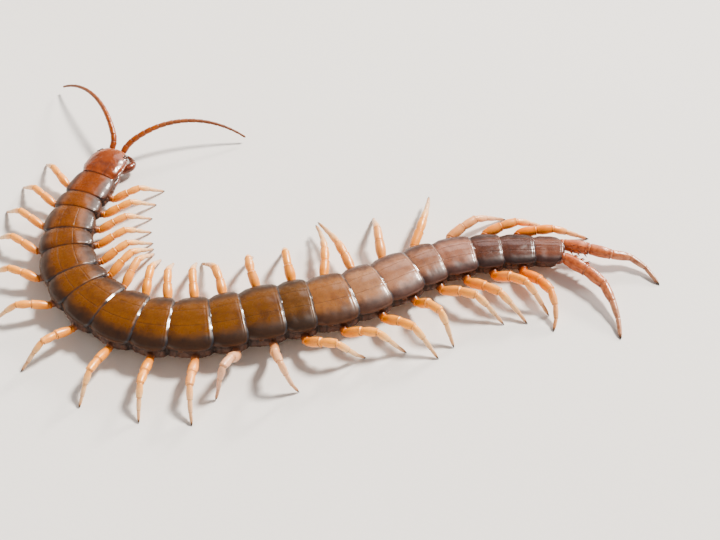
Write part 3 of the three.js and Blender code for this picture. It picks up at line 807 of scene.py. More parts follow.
skin = {
    # half of its outline from the back to the belly: share of half the width, share of the height
    "outline": [
        (0.0, 0.955), (0.30, 0.94), (0.58, 0.875), (0.78, 0.77), (0.90, 0.665), (0.945, 0.60), (0.925, 0.545),
        (0.93, 0.47), (0.955, 0.36), (0.95, 0.24), (0.90, 0.13), (0.78, 0.05), (0.60, 0.012), (0.3, 0.0), (0.0, 0.0),
    ],
    "swell": [(0.0, 0.915), (0.08, 0.945), (0.25, 0.985), (0.5, 1.0), (0.8, 0.995), (0.93, 0.965), (1.0, 0.915)],
    "halfPoints": 60,
    "ringStep": 0.17,
    "ends": (-1.6, 0.0),  # past the first plate's front and the last plate's rear
    # folds across the trunk, with the joints first: share of a plate's length, width, depth
    "crossFolds": [(0, 0.07, 1.0), (1, 0.07, 1.0), (0.2, 0.035, 0.5), (0.86, 0.03, 0.4)],
    "longFolds": [(0.50, 0.022, 0.8), (0.14, 0.03, 0.4)],  # share of the height, width, depth
    # hard scales in the flanks: share of a plate's length, share of the height, half length, half height
    "scales": [(0.36, 0.34, 0.13, 0.11), (0.62, 0.53, 0.16, 0.045), (0.86, 0.36, 0.06, 0.10)],
    "relief": (0.30, -0.15, 0.06),  # of the swellings at the legs, the folds and the scales
    "bellyLift": 0.07,  # above the belly plates
    "neckLift": 0.6,  # of its front end, which is inside the head
}


def legRoot(leg):
    # place along the trunk of the root of walking leg number leg
    return starts[leg - 1] + 0.58 * lengths[leg - 1]


def makeSkin():
    look = skin
    outline = np.array(look["outline"])
    bends = np.concatenate([[0], np.cumsum(np.hypot(*(np.diff(outline, axis=0) * (0.5, trunk["tallness"])).T))])
    half = curveThrough(bends / bends[-1], outline, np.linspace(0, 1, look["halfPoints"]))
    x, z = np.concatenate([half, half[-2:0:-1] * (-1, 1)]).T
    first, last = look["ends"]
    count = round((trunkLength + last - first) / look["ringStep"])
    distance = np.linspace(first, trunkLength + last, count)
    plate = np.clip(np.searchsorted(starts, distance, side="right") - 1, 0, plateCount - 1)
    v = (distance - starts[plate]) / lengths[plate]
    swell = tableCurve(look["swell"], np.clip(v, 0, 1))
    swell = swell * ramp(trunkLength + 0.25 - distance, -0.4, 1.0) ** 0.35
    swell = (swell * (0.86 + 0.14 * ramp(distance, -1.6, 0.5)))[:, None]
    d, x = np.meshgrid(distance, x, indexing="ij")
    v, z = np.broadcast_to(v[:, None], d.shape), np.broadcast_to(z, d.shape)
    low = 1 - ramp(z, 0.0, 0.10)  # the belly stays flat
    grid = onTrunk(d, x * swell, (0.5 + (z - 0.5) * swell) * (1 - low) + z * low)
    around = np.roll(grid, -1, 1) - np.roll(grid, 1, 1)
    outward = unit(np.cross(around, np.gradient(grid, axis=0)))
    flank = window(z, 0.06, 0.14, 0.58, 0.66) * ramp(np.abs(x), 0.6, 0.85)
    folds = [depth * hump(v, place, wide) for place, wide, depth in look["crossFolds"]]
    above, below = (depth * hump(z, place, wide) for place, wide, depth in look["longFolds"])
    creases = sum(folds) + above + below * (1 - folds[0] - folds[1])
    height = trunkPlace(d)[4]
    bulge = sum(hump(d, legRoot(leg), 0.95) * hump((z - 0.3) * height, 0, 0.85) for leg in legNumbers)
    hard = np.zeros_like(d)
    for place, level, long, tall in look["scales"]:
        spot = ((v - place) / long) ** 2 + ((z - level) / tall) ** 2
        hard = np.maximum(hard, 1 - ramp(spot, 0.7, 1.15))
    hard *= flank
    legRelief, foldRelief, scaleRelief = look["relief"]
    relief = flank * (legRelief * bulge + foldRelief * creases + scaleRelief * hard)
    # fine uneven folds, drawn out downwards
    fine = 1 - ramp(np.abs(waviness(grid * (1, 1, 0.5), 1.3, 7)), 0, 0.5)
    relief += flank * (0.05 * waviness(grid * (1, 1, 0.6), 1.1, 5) - 0.09 * fine * (1 - hard))
    relief += 0.03 * waviness(grid, 2.5, 6) * (1 - 0.8 * low)
    grid = raised(grid, relief, outward)
    neck = (1 - ramp(d, -0.5, 0.35)) * (1 - ramp(z, 0.1, 0.6))
    grid[..., 2] += look["bellyLift"] * low + look["neckLift"] * neck
    shape = capped(grid, {"height": z, "hard": hard, "crease": creases * flank})
    nodes = [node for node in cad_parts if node.startswith("trunk_")]
    makePiece("trunkSkin", shape, "skin", nodes)


# Belly plates and breathing holes

bellyPlate = {
    "reach": (0.05, 0.955), "firstFrom": 0.12,  # along a plate, and where the first one starts
    "halfWidth": 0.66, "thickness": 0.1,
    "drop": 0.04,  # below the trunk's lowest line
    "corner": 0.10,  # how far its corners are rounded off
    "suture": (0.42, 0.025, 0.05),  # place across, width, height
    "rise": (0.016, 0.004),  # of its sides and of its front
    "unevenness": 0.015,
}


def makeBellyPlate(index):
    look = bellyPlate
    low, high = look["reach"]
    low = low if index else look["firstFrom"]
    rows = np.concatenate([np.linspace(low, 0.18, 6), np.linspace(0.25, 0.85, 12), np.linspace(0.88, high, 5)])
    v, a = np.meshgrid(rows, np.linspace(1, -1, 41), indexing="ij")
    side = np.abs(a)
    shift = look["corner"] * side**6 * ((1 - ramp(v, 0, 0.4)) - ramp(v, 0.6, 1))
    taper = 1 - 0.30 * ramp(v, 0.2, 1.0) if index == plateCount - 1 else 0.93 + 0.07 * ramp(v, 0.0, 0.4)
    rise = look["rise"][0] * side**6 + look["rise"][1] * (1 - ramp(v, 0.05, 0.2))
    grid = onTrunk(starts[index] + lengths[index] * (v + shift), a * taper * look["halfWidth"], rise)
    place, wide, height = look["suture"]
    grid[..., 2] += height * hump(side, place, wide) * window(v, 0.05, 0.12, 0.85, 0.93) - look["drop"]
    grid[..., 2] += look["unevenness"] * waviness(grid, 2.0, 120 + index)
    shape = shell(grid, {"along": v, "across": a}, look["thickness"])
    makePiece(f"bellyPlate{index + 1:02d}", shape, "bellyPlate")


breathingHole = {
    "segments": (3, 5, 8, 10, 12, 14, 16, 18, 20),
    "place": 0.30, "level": 0.545, "aside": 0.935,  # along the plate, up the trunk, to its side
    "size": (0.42, 0.24),
    "bands": np.array([0.02, 0.3, 0.5, 0.62, 0.75, 0.88, 1.0, 1.15]),
    "rise": [(0, -0.16), (0.45, -0.12), (0.62, -0.02), (0.85, 0.11), (1.0, 0.06), (1.15, -0.08)],
    "sides": 20,
}


def breathingHoleOn(segment, side):
    look = breathingHole
    bands, (long, tall) = look["bands"], look["size"]
    distance = starts[segment - 1] + look["place"] * lengths[segment - 1]
    _, back, left, _, _ = trunkPlace(distance)
    centre = onTrunk(distance, np.array(side * look["aside"]), np.array(look["level"]))
    out = unit(left * side - 0.15 * up)
    rise = tableCurve(look["rise"], bands)
    rings = bossRings(centre, back * long, np.cross(out, back) * side * tall, out, bands, rise, look["sides"])
    return capped(rings, {"depth": 1 - ramp(bands, 0.45, 0.7)[:, None]}, flip=side > 0)


# Limbs: a chain of articles along a line whose corners are rounded

article = {
    # along an article: share, then shares of its near, middle and far radius
    "body": [
        (0.0, (1, 0, 0)), (0.1, (1, 0, 0)), (0.3, (0.35, 0.65, 0)), (0.48, (0, 1, 0)), (0.7, (0, 0.7, 0.3)),
        (0.86, (0, 0.15, 0.85)), (1.0, (0, 0, 1)),
    ],
    # how it narrows at its near end, and swells and narrows at its far end
    "near": [(0.0, 0.84), (0.02, 0.88), (0.05, 0.985), (0.10, 1.0)],
    "far": [(0.86, 1.0), (0.94, 1.02), (0.968, 1.03), (0.985, 0.98), (1.0, 0.84)],
    # where its rings are
    "shares": [
        0.0, 0.02, 0.045, 0.075, 0.12, 0.19, 0.28, 0.38, 0.48, 0.58, 0.68, 0.77, 0.85, 0.905, 0.945, 0.97, 0.987,
    ],
    "rim": (0.955, 0.02),  # place and width of the dark rim before a joint
}


class Chain:
    # the rings of a limb, one after the other, and what its paint needs to know of each
    def __init__(self):
        self.centres, self.ways, self.radii, self.values = [], [], [], {}

    def add(self, centre, way, radius, **values):
        self.centres.append(centre)
        self.ways.append(way)
        self.radii.append(radius)
        for key, value in values.items():
            self.values.setdefault(key, []).append(value)

    def body(self, sides, share, seed, shape=1.0, **values):
        # the tube through the rings, with soft dents and low lengthwise ridges
        angle = turns(sides)
        around = np.stack([np.cos(angle), 0.3 * np.cos(2 * angle), np.sin(angle)], -1)
        spots = np.array(self.centres)[:, None] + around
        rough = waviness(spots, 1.5, seed) + 0.45 * waviness(spots, 0.5, seed + 1)
        rough += 0.5 * np.cos(3 * angle + 0.6)
        radii = np.array(self.radii)[:, None] * shape * (1 + share * rough)
        return tube(self.centres, radii, sides, {**self.values, **values}, self.ways)


def roundedLine(corners, radii):
    # reads centre and way at (article, share) on a line through corners
    corners = np.asarray(corners, float)
    long = np.linalg.norm(np.diff(corners, axis=0), axis=1)
    ways = np.diff(corners, axis=0) / long[:, None]
    trims = [0.0]
    for i in range(1, len(ways)):
        bend = math.acos(float(np.clip(ways[i] @ ways[i - 1], -1, 1)))
        room = min(long[i - 1] * (0.85 if i == 1 else 0.45), long[i] * 0.45)
        trims.append(min(room, max(1.15 * radii[i] * math.tan(bend / 2), 0.1)))
    trims.append(0.0)

    def read(index, share):
        at = share * long[index]
        for corner, d in ((index, at), (index + 1, at - long[index])):
            trim = trims[corner]
            if abs(d) < trim:
                t = (d + trim) / (2 * trim)
                before, after = ways[corner - 1], ways[corner]
                centre = corners[corner] - before * trim * (1 - t) ** 2 + after * trim * t**2
                return centre, unit(before * (1 - t) + after * t)
        return corners[index] + ways[index] * at, ways[index]

    return read


def limb(corners, articles, collar, stub, dip=0.0):
    # articles holds the radii of each article past the stub, and the last is a claw's;
    # collar holds places along the stub and shares of its radius, and sinks by dip towards the trunk
    read = roundedLine(corners, [stub] + [radii[0] for radii in articles])
    chain = Chain()
    for share, radius in collar:
        centre, way = read(0, share)
        centre = centre - up * dip * (1 - ramp(share, -0.1, 0.85))
        chain.add(centre, way, radius * stub, article=share / len(articles), joint=0.0, rim=0.0)
    keys, weights = zip(*article["body"])
    for i, radii in enumerate(articles[:-1], 1):
        for share in article["shares"]:
            radius = curveThrough(keys, np.array(weights) @ radii, share)
            radius *= np.interp(share, *zip(*article["near"])) * np.interp(share, *zip(*article["far"]))
            joint = min(max(1 - share / 0.035, 0) + max((share - 0.982) / 0.018, 0), 1.0)
            rim = float(hump(share, *article["rim"]))
            chain.add(*read(i, share), radius, article=(i + share) / len(articles), joint=joint, rim=rim)
    return chain, read


def point(root, way, length, radius, bend, sides=8, rings=9, **values):
    # a small pointed spine that curves by bend over its length
    t = np.linspace(0, 1, rings)
    centres = root + way * (t * length)[:, None] + bend * (t**2 * length)[:, None]
    radii = radius * (1 - t) ** 0.75 * (1 + 0.12 * np.sin(t * math.pi)) + 0.008
    return tube(centres, radii, sides, {"horn": t, **values}, way + bend * (2 * t)[:, None])


walking = {
    "coxa": (1.1, 0.76),  # length and radius of the stub that stands out of the trunk
    "collar": [  # places along the stub and shares of its radius
        (-0.75, 1.02), (-0.35, 1.2), (-0.1, 1.17), (0.1, 1.06), (0.28, 0.98), (0.42, 0.95),
        (0.5, 0.84), (0.56, 0.86), (0.64, 0.99), (0.76, 1.02), (0.87, 1.0), (0.94, 0.92),
    ],
    # each article: length, radii at its near joint, middle and far joint
    "articles": [
        (3.4, (0.78, 0.94, 0.86)), (2.9, (0.72, 0.83, 0.73)), (2.6, (0.58, 0.65, 0.53)),
        (2.3, (0.43, 0.45, 0.37)), (1.6, (0.31, 0.31, 0.26)), (0.7, (0.17, 0.14, 0.09)),
    ],
    "root": (0.93, 0.3),  # share of half the trunk's width, share of its height
    "sizes": (0.84, 1.08),  # of the first and the last leg
    "knee": (0.75, 0.25), "fall": (0.34, 0.34, 0.22, 0.1),  # how the articles share the rise and the fall
    # sweep of the first article, sweep of the last, knee, foot, for legs 11 to 20
    "rearLeft": [
        (-36, -46, 3.4, 0), (-10, 56, 3.0, 0), (52, 96, 2.2, 0), (56, 66, 2.2, 0), (30, 22, 2.0, 0),
        (14, -2, 3.0, 0), (42, 26, 1.8, 0), (42, 30, 1.4, 0), (52, 34, 2.4, 0), (44, -18, 1.2, 0),
    ],
    "rearRight": [
        (0, -30, 1.4, 0), (-8, 30, 2.4, 0), (-4, 14, 2.2, 0), (22, -4, 0.9, 2.5), (4, -8, 0.9, 2.5),
        (22, 26, 1.4, 0), (46, 34, 0.9, 2), (66, 86, 0.9, 0), (74, 96, 0.9, 0), (88, 94, 0.8, 0),
    ],
    # legs 1 to 10 follow a wave: first and last sweep, swing, legs in a wave, curl, knee
    "front": (-38, -6), "swingLeft": 13, "swingRight": -6, "wave": 6.5, "curl": 12, "frontKnee": 1.4,
    "sides": 20,
    "unevenness": 0.017,
    "claw": [(-0.12, 0.15), (0.0, 0.18), (0.15, 0.175), (0.5, 0.125), (0.8, 0.07), (1.0, 0.025)],
    # spurs under the far end of the third article, and beside the next joint: article, place, length
    "spurs": [(3, 0.95, 0.55), (4, 0.93, 0.4)],
    # how orange each leg is, from leg 1 on; 0 is pale and pinkish
    "warmLeft": [0.9] * 9 + [0.7, 0.05, 0.35, 1.0, 0.9, 1.0, 0.95, 0.9, 0.95, 0.95, 1.0],
    "warmRight": [0.9] * 10 + [0.85, 0.9, 0.9, 0.85, 0.75, 0.7, 0.85, 0.45, 0.85, 1.0],
    "redness": [0.0] * 17 + [0.1, 0.3, 0.6],
}


def walkingPose(leg, name):
    look = walking
    if leg > 10:
        return look["rear" + name][leg - 11]
    share = (leg - 1) / 9
    first, last = look["front"]
    sweep = first + (last - first) * share + look["swing" + name] * math.sin(2 * math.pi * leg / look["wave"])
    return sweep, sweep + look["curl"] * (2 * share - 1), look["frontKnee"], 0


def walkingCorners(leg, name):
    look = walking
    place, back, left, width, height = trunkPlace(legRoot(leg))
    small, large = look["sizes"]
    size = small + (large - small) * (leg - 1) / (plateCount - 2)
    out = left * leftRight[name]
    flank, level = look["root"]
    root = place + out * (flank * width / 2 + trunk["gap"]) + up * (trunk["belly"] + level * height)
    firstSweep, lastSweep, knee, foot = walkingPose(leg, name)
    fall = root[2] + knee * size - foot
    rises = [share * knee * size for share in look["knee"]] + [-share * fall for share in look["fall"]]
    corners = [root, root + out * look["coxa"][0] * size]
    for i, ((length, _), rise) in enumerate(zip(look["articles"], rises)):
        sweep = math.radians(firstSweep + (lastSweep - firstSweep) * min(1, i / 4))
        flat = math.sqrt((length * size) ** 2 - rise**2)
        corners.append(corners[-1] + flat * (out * math.cos(sweep) + back * math.sin(sweep)) + up * rise)
    return corners, size, foot


def clawOn(corners, size, foot):
    # a curved claw from the last joint to the foot, with two small side claws
    start, end = corners[-2:]
    before = unit(start - corners[-3])
    t = np.linspace(-0.12, 1, 14)
    control = start + before * np.linalg.norm(end - start) * 0.55 + up * 0.02
    tip = end + up * (0.045 * size if foot == 0 else 0)
    radii = size * np.interp(t, *zip(*walking["claw"]))
    parts = [tube(bow(t, start, control, tip), radii, 12, {"horn": np.clip(t, 0, 1)})]
    across = unit(np.cross(before, up))
    for turn in (1, -1):
        root = start + before * 0.05 + across * 0.09 * size * turn
        way = unit(before * 0.7 + across * 0.45 * turn - up * 0.35)
        parts.append(point(root, way, 0.32 * size, 0.055 * size, -up * 0.2, 6, 6))
    return parts


def makeWalkingLeg(leg, name):
    look = walking
    corners, size, foot = walkingCorners(leg, name)
    radii = [[r * size * (1 + 0.03 * chance.normal()) for r in part[1]] for part in look["articles"]]
    warmth = min(max(look["warm" + name][leg - 1] + 0.06 * chance.normal(), 0), 1)
    chain, read = limb(corners, radii, look["collar"], look["coxa"][1] * size)
    seed = 400 + 2 * leg + 50 * leftRight[name]
    redness = look["redness"][leg - 1]
    parts = [chain.body(look["sides"], look["unevenness"], seed, warmth=warmth, redness=redness)]
    for index, share, length in look["spurs"]:
        centre, way = read(index, share)
        down = unit(-up - way * (-up @ way))
        root = centre + down * radii[index - 1][2] * 0.7
        lean = unit(way * 0.8 + down * 0.6)
        spur = point(root, lean, length * size, 0.075 * size, up * 0.05, article=index / 6, warmth=warmth)
        spur[2]["rim"] = spur[2].pop("horn") * 0.9
        parts.append(spur)
    makePiece(f"leg{name}{leg:02d}", joined(parts), "walkingLeg", [f"leg_{name.lower()}_{leg:02d}"])
    return clawOn(corners, size, foot)


# The last pair of legs, thick and spined, and the end of the body between them

lastLeg = {
    "coxa": (1.0, 1.05),
    "collar": [
        (-1.1, 0.6), (-0.6, 0.8), (-0.2, 0.9), (0.1, 0.97), (0.35, 1.0), (0.55, 0.98), (0.7, 0.93), (0.85, 0.96),
    ],
    "root": (1.6, 0.6),  # to the side of the middle in mm, share of the last plate's height
    "dip": 0.5,  # of the root, below the last back plate
    # each article: length, fall as a share of the root's height, radii
    "articles": [
        (4.9, 0.03, (1.06, 1.26, 1.12)), (4.1, 0.09, (1.04, 1.10, 0.93)), (3.7, 0.24, (0.87, 0.86, 0.68)),
        (3.4, 0.28, (0.63, 0.60, 0.48)), (3.3, 0.26, (0.45, 0.43, 0.33)), (0.8, 0.10, (0.22, 0.18, 0.10)),
    ],
    "headings": {"Left": (-38, -48, -70, -78, -88, -92), "Right": (-12, -16, -2, -34, -56, -60)},
    "flat": (0.10, 0.03),  # how much lower and wider the first long articles are
    "sides": 28,
    "unevenness": 0.016,
    # on the first article: rows in degrees around it, places along it, length and thickness
    "spineRows": (-62, -24, 14, 52), "spinePlaces": (0.3, 0.56, 0.82), "spine": (0.72, 0.16),
    "clawSize": 1.25,
}


def makeLastLeg(name):
    look = lastLeg
    side = leftRight[name]
    place, back, left, _, height = trunkPlace(trunkLength)
    spread, level = look["root"]
    root = place + left * side * spread + back * trunk["gap"] / 2 + up * (trunk["belly"] + level * height)
    corners = [root, root + back * look["coxa"][0]]
    for (length, fall, _), heading in zip(look["articles"], look["headings"][name]):
        pitch = -math.degrees(math.asin(fall * root[2] / length))
        corners.append(corners[-1] + wayTo(heading, pitch) * length)
    radii = [item[2] for item in look["articles"]]
    chain, _ = limb(corners, radii, look["collar"], look["coxa"][1], look["dip"])
    angle = turns(look["sides"])
    lower, wider = look["flat"]
    share = 1 - ramp(np.array(chain.values["article"]), 0.4, 0.62)[:, None]
    flat = 1 - lower * share * np.clip(np.sin(angle), 0, 1) ** 2 + wider * share * np.cos(angle) ** 2
    parts = [chain.body(look["sides"], look["unevenness"], 520 + 5 * side, flat)]
    way, radius = unit(corners[2] - corners[1]), radii[0][1]
    inward = unit(np.cross(up, way)) * side
    above = np.cross(way, inward) * side
    length, thick = look["spine"]
    for row in np.radians(look["spineRows"]):
        outward = inward * math.cos(row) + above * math.sin(row)
        for spot in look["spinePlaces"]:
            foot = corners[1] + way * spot * look["articles"][0][0] + outward * radius * 0.78
            lean, bend = unit(outward + way * 0.75), way * 0.12 + outward * 0.02
            parts.append(point(foot, lean, length + radius * 0.2, thick, bend, 10, 12, article=0.3))
    makePiece(f"lastLeg{name}", joined(parts), "lastLeg", [f"last_leg_{name.lower()}"])
    return clawOn(corners, look["clawSize"], 0)


tailProcess = {
    # path of a side process: behind the last plate's edge, to the side, height
    "path": [(-3.2, 1.75, 2.0), (-1.2, 1.75, 1.75), (1.7, 0.95, 1.4)],
    "radii": [(0, 0.3), (0.12, 0.75), (0.3, 0.86), (0.5, 0.74), (0.7, 0.42), (0.88, 0.22), (1.0, 0.03)],
    "spines": [(1, 0.3), (-1, 0.2), (0.1, 1.0)],  # how each leans to the side and up
    "sides": 22,
    "end": {"length": 0.85, "level": 2.75, "radius": 0.95, "tall": 1.35, "slit": 0.16, "sides": 30},
}


def makeTailProcesses():
    # the rounded end of the body, with an upright slit
    look, end = tailProcess, tailProcess["end"]
    place, back, left, _, _ = trunkPlace(trunkLength)
    t = np.linspace(-1, 1, 26)
    centres = place + back * (t * end["length"])[:, None] + up * end["level"]
    slit = 1 - end["slit"] * (hump(np.abs(np.sin(turns(end["sides"]))), 1, 0.05) * ramp(t, 0.2, 0.8)[:, None])
    radii = end["radius"] * np.sqrt(1 - 0.995 * np.clip(t, 0, 1) ** 2)[:, None] * slit
    parts = [tube(centres, radii, end["sides"], {"article": 0.12}, tall=end["tall"])]
    # a swollen side piece of the last ring on each side, drawn out into a point with small spines
    t = np.linspace(0, 1, 26)
    radii = np.interp(t, *zip(*look["radii"]))
    values = {"article": 0.3, "horn": ramp(t, 0.85, 1)}
    for side in leftRight.values():
        spots = [place + back * rear + left * side * aside + up * level for rear, aside, level in look["path"]]
        parts.append(tube(bow(t, *spots), radii, look["sides"], values))
        for turn, lift in look["spines"]:
            way = unit(back + left * 0.6 * turn + up * 0.5 * lift)
            parts.append(point(spots[-1] - back * 0.42, way, 0.34, 0.08, back * 0.1, 6, 6))
    makePiece("tailProcesses", joined(parts), "lastLeg")


# Head: capsule, shield, eyes, feelers, mouth palps, and the poison claws with their plate

head = {
    "length": 7.0, "width": 7.9, "bottom": 2.95, "top": 5.3,
    # share of the length, share of the width, share of the height
    "swell": [
        (-0.1, 0.82, 0.90), (0.0, 0.86, 0.93), (0.08, 0.94, 0.985), (0.3, 1.0, 1.0), (0.5, 0.99, 0.99),
        (0.68, 0.93, 0.95), (0.82, 0.82, 0.88), (0.93, 0.67, 0.79), (0.985, 0.52, 0.68), (1.0, 0.42, 0.60),
    ],
    "outline": [
        (0, 1), (0.33, 0.975), (0.62, 0.88), (0.85, 0.7), (0.98, 0.46), (0.96, 0.24), (0.76, 0.04), (0.38, 0), (0, 0),
    ],
    # the rings that close its front: share of the last full ring, forward
    "mouth": [(0.9, 0.05), (0.7, 0.1), (0.45, 0.12), (0.2, 0.1), (0.02, 0.08)],
    "shield": {
        "reach": 3.85,  # down the capsule's sides, along its outline
        "grow": 0.05, "thickness": 0.13,
        # place across, width, height
        "edges": [(0.975, 0.02, 0.05), (0.93, 0.02, -0.04)],
        "suture": [(0.3, 0.014, -0.05)], "frontGroove": [(0, 0.05, -0.06)],
    },
    "eyes": [(0.76, 2.7), (0.76, 3.35), (0.85, 2.75), (0.85, 3.4)],
    "eyeRadius": 0.3,
    # an eye's rings, as shares of its radius: width, height above the shield
    "eyeRings": [
        (0.01, 0.72), (0.2, 0.70), (0.4, 0.63), (0.6, 0.50), (0.76, 0.34), (0.86, 0.18), (0.92, 0.08), (1.0, 0.13),
        (1.1, 0.16), (1.2, 0.08), (1.32, -0.15),
    ],
    "eyeSides": 24,
}
neckPoint, neckBack, headLeft, _, _ = trunkPlace(0.0)
headAhead = -neckBack


def headPoint(forward, leftward, height):
    forward, leftward, height = (np.asarray(v, float)[..., None] for v in (forward, leftward, height))
    return neckPoint + headAhead * forward + headLeft * leftward + up * height


def headSurface(share, place, grow=0.0):
    # place runs along the outline from 0, the middle of the top, to 8, the middle of the bottom
    swell = np.array(head["swell"])
    sizes = curveThrough(swell[:, 0], swell[:, 1:], share)
    outline = np.array(head["outline"], float)
    spot = curveThrough(np.arange(len(outline)), outline, np.abs(place))
    x = spot[..., 0] * sizes[..., 0] * (head["width"] / 2 + grow) * np.sign(place)
    z = head["bottom"] + (head["top"] - head["bottom"]) * spot[..., 1] * sizes[..., 1]
    return headPoint(trunk["gap"] / 2 + share * head["length"], x, z + grow)


def makeHead():
    # the capsule, closed in front by rings that shrink to the mouth
    place = np.concatenate([np.linspace(0, 8, 49), -np.linspace(8, 0, 49)[1:-1]])
    share = np.concatenate([np.linspace(-0.08, 0.9, 34), np.linspace(0.915, 1.0, 9)])
    s, p = np.meshgrid(share, place, indexing="ij")
    middle = headPoint(trunk["gap"] / 2 + s * head["length"], 0 * s, head["bottom"] + 0.9)
    rings = middle + (headSurface(s, p) - middle) * 0.955
    last, centre = rings[-1], middle[-1]
    front = [centre + (last - centre) * shrink + headAhead * ahead for shrink, ahead in head["mouth"]]
    rings = np.concatenate([rings, front])
    along = np.clip(np.concatenate([share, np.ones(len(front))]), 0, 1)[:, None]
    shape = capped(rings, {"along": along, "across": 0.6}, flip=True)
    makePiece("headCapsule", shape, "head", ["head"])


def makeHeadShield():
    look = head["shield"]
    a = np.concatenate([-np.linspace(1, 0, 40)[:-1], np.linspace(0, 1, 40)])
    share = np.concatenate([np.linspace(-0.06, 0.9, 44), np.linspace(0.915, 0.985, 7)])
    s, a = np.meshgrid(share, a, indexing="ij")
    side = np.abs(a)
    front = 0.03 * hump(a, 0, 0.08) * ramp(s, 0.8, 1) + 0.06 * side**4 * ramp(s, 0.7, 1)
    grid = headSurface(s - front, -a * look["reach"], look["grow"])
    outward = outwardOf(grid)
    outward *= np.sign(outward[..., 2:3].mean())
    relief = 0.03 * waviness(grid, 2.6, 200) + 0.01 * waviness(grid, 0.8, 201)
    relief += humps(side, look["edges"]) + humps(side, look["suture"]) * (1 - ramp(s, 0.22, 0.42))
    relief += humps(a, look["frontGroove"]) * ramp(s, 0.86, 0.98)
    grid = raised(grid, relief, outward)
    shape = shell(grid, {"along": s, "across": a}, look["thickness"])
    makePiece("headShield", shape, "head")


def eyeOn(place, side):
    # a domed lens in a low ring
    share, spot = place
    centre = headSurface(np.array(share), np.array(side * spot), 0.03)
    near = headSurface(np.array([share + 0.02, share]), np.array([side * spot, side * (spot + 0.1)]), 0.03)
    first = unit(near[0] - centre)
    out = unit(np.cross(first, near[1] - centre))
    out = out * np.sign(out @ (centre - headPoint(3.5, 0.0, 3.5)))
    bands, rise = np.array(head["eyeRings"]).T
    radius = head["eyeRadius"]
    widths, heights = bands * radius * 0.86, rise * radius
    rings = bossRings(centre, first, np.cross(out, first), out, widths, heights, head["eyeSides"])
    return capped(rings, {"socket": ramp(bands, 0.88, 0.95)[:, None]}, flip=True)


feeler = {
    "articles": 18, "length": 1.5, "radii": (0.64, 0.23), "waist": 0.8,
    "spread": 1.25, "level": 0.34, "bend": 2, "sides": 22,
    # heading from the head's, turn for each article, first pitch and its change
    "Left": (34, 2.6, 24, -3.4), "Right": (-24, -3.4, 20, -3.0),
    "scape": [(-0.9, 1.05), (-0.6, 1.2), (-0.3, 1.15), (-0.1, 0.95)],  # what joins it to the head
    "shares": (0.01, 0.035, 0.07, 0.12, 0.2, 0.32, 0.46, 0.6, 0.73, 0.83, 0.9, 0.945, 0.97, 0.99),
    "body": [
        (0.0, 0.68), (0.03, 0.78), (0.07, 0.87), (0.14, 0.92), (0.40, 0.95), (0.70, 0.975), (0.90, 0.995),
        (0.96, 0.975), (0.985, 0.87), (1.0, 0.72),
    ],
    "tip": (0.66, 0.52, 0.34, 0.12),
    "unevenness": 0.014,
}


def makeFeeler(name):
    look = feeler
    side = leftRight[name]
    heading, turn, pitch, droop = look[name]
    level = head["bottom"] + look["level"] * (head["top"] - head["bottom"])
    corners = [headPoint(trunk["gap"] * 1.5 + head["length"], side * look["spread"], level)]
    for i in range(look["articles"]):
        way = wayTo(headings[0] + heading * min(1, (i + 0.5) / look["bend"]) + turn * i, pitch + droop * i)
        corners.append(corners[-1] + way * look["length"])
    thick = np.linspace(*look["radii"], look["articles"])
    read = roundedLine(corners, [r * 0.5 for r in (*thick, thick[-1])])
    chain = Chain()
    for at, radius in look["scape"]:
        centre = corners[0] + unit(corners[1] - corners[0]) * at * 0.6 + headAhead * at * 0.4
        chain.add(centre, headAhead, thick[0] * radius * look["waist"], share=0.0, joint=float(at > -0.2))
    for i in range(look["articles"]):
        for at in look["shares"]:
            radius = thick[i] * (1 + 0.015 * chance.normal()) * float(tableCurve(look["body"], at))
            joint = 1 - ramp(at, 0.02, 0.08) + ramp(at, 0.95, 0.985)
            chain.add(*read(i, at), radius, share=(i + at) / look["articles"], joint=joint)
    for radius in look["tip"]:
        way = chain.ways[-1]
        chain.add(chain.centres[-1] + way * 0.06, way, thick[-1] * radius, share=1.0, joint=0.0)
    shape = chain.body(look["sides"], look["unevenness"], 560 + 5 * side)
    makePiece(f"feeler{name}", shape, "feeler", [f"antenna_{name.lower()}"])


mouthSkin = {
    # the soft skin between the head and the plate: forward, half width, half height
    "rings": [
        (-0.9, 2.9, 0.75), (0.2, 3.15, 0.72), (1.6, 3.2, 0.66), (3.0, 3.0, 0.6), (4.3, 2.3, 0.55), (5.6, 1.3, 0.42),
    ],
    "level": 2.86,
    "counts": (60, 72),
    "folds": 0.07,
}


def makeMouthSkin():
    look = mouthSkin
    rings, sides = look["counts"]
    t = np.linspace(0, 1, rings)
    forward, wide, tall = (v[:, None] for v in evenCurve(look["rings"], t).T)
    close = np.sqrt(np.clip(1 - ((t - 0.5) / 0.5) ** 16, 0.0004, 1))[:, None]
    x, z = squarer(np.cos(turns(sides)), 0.7), np.sin(turns(sides))
    folds = look["folds"] * np.abs(np.sin(3.2 * forward + 0.5 * np.sin(forward))) * np.abs(x)
    grid = headPoint(forward + 0 * x, (wide - folds) * x * close, look["level"] + tall * z * close)
    grid = grid + headLeft * (0.03 * waviness(grid, 0.9, 310) * x)[..., None]
    shape = capped(grid, {"height": 0.4, "crease": (1 - folds / look["folds"]) * 0.4})
    makePiece("mouthSkin", shape, "skin")


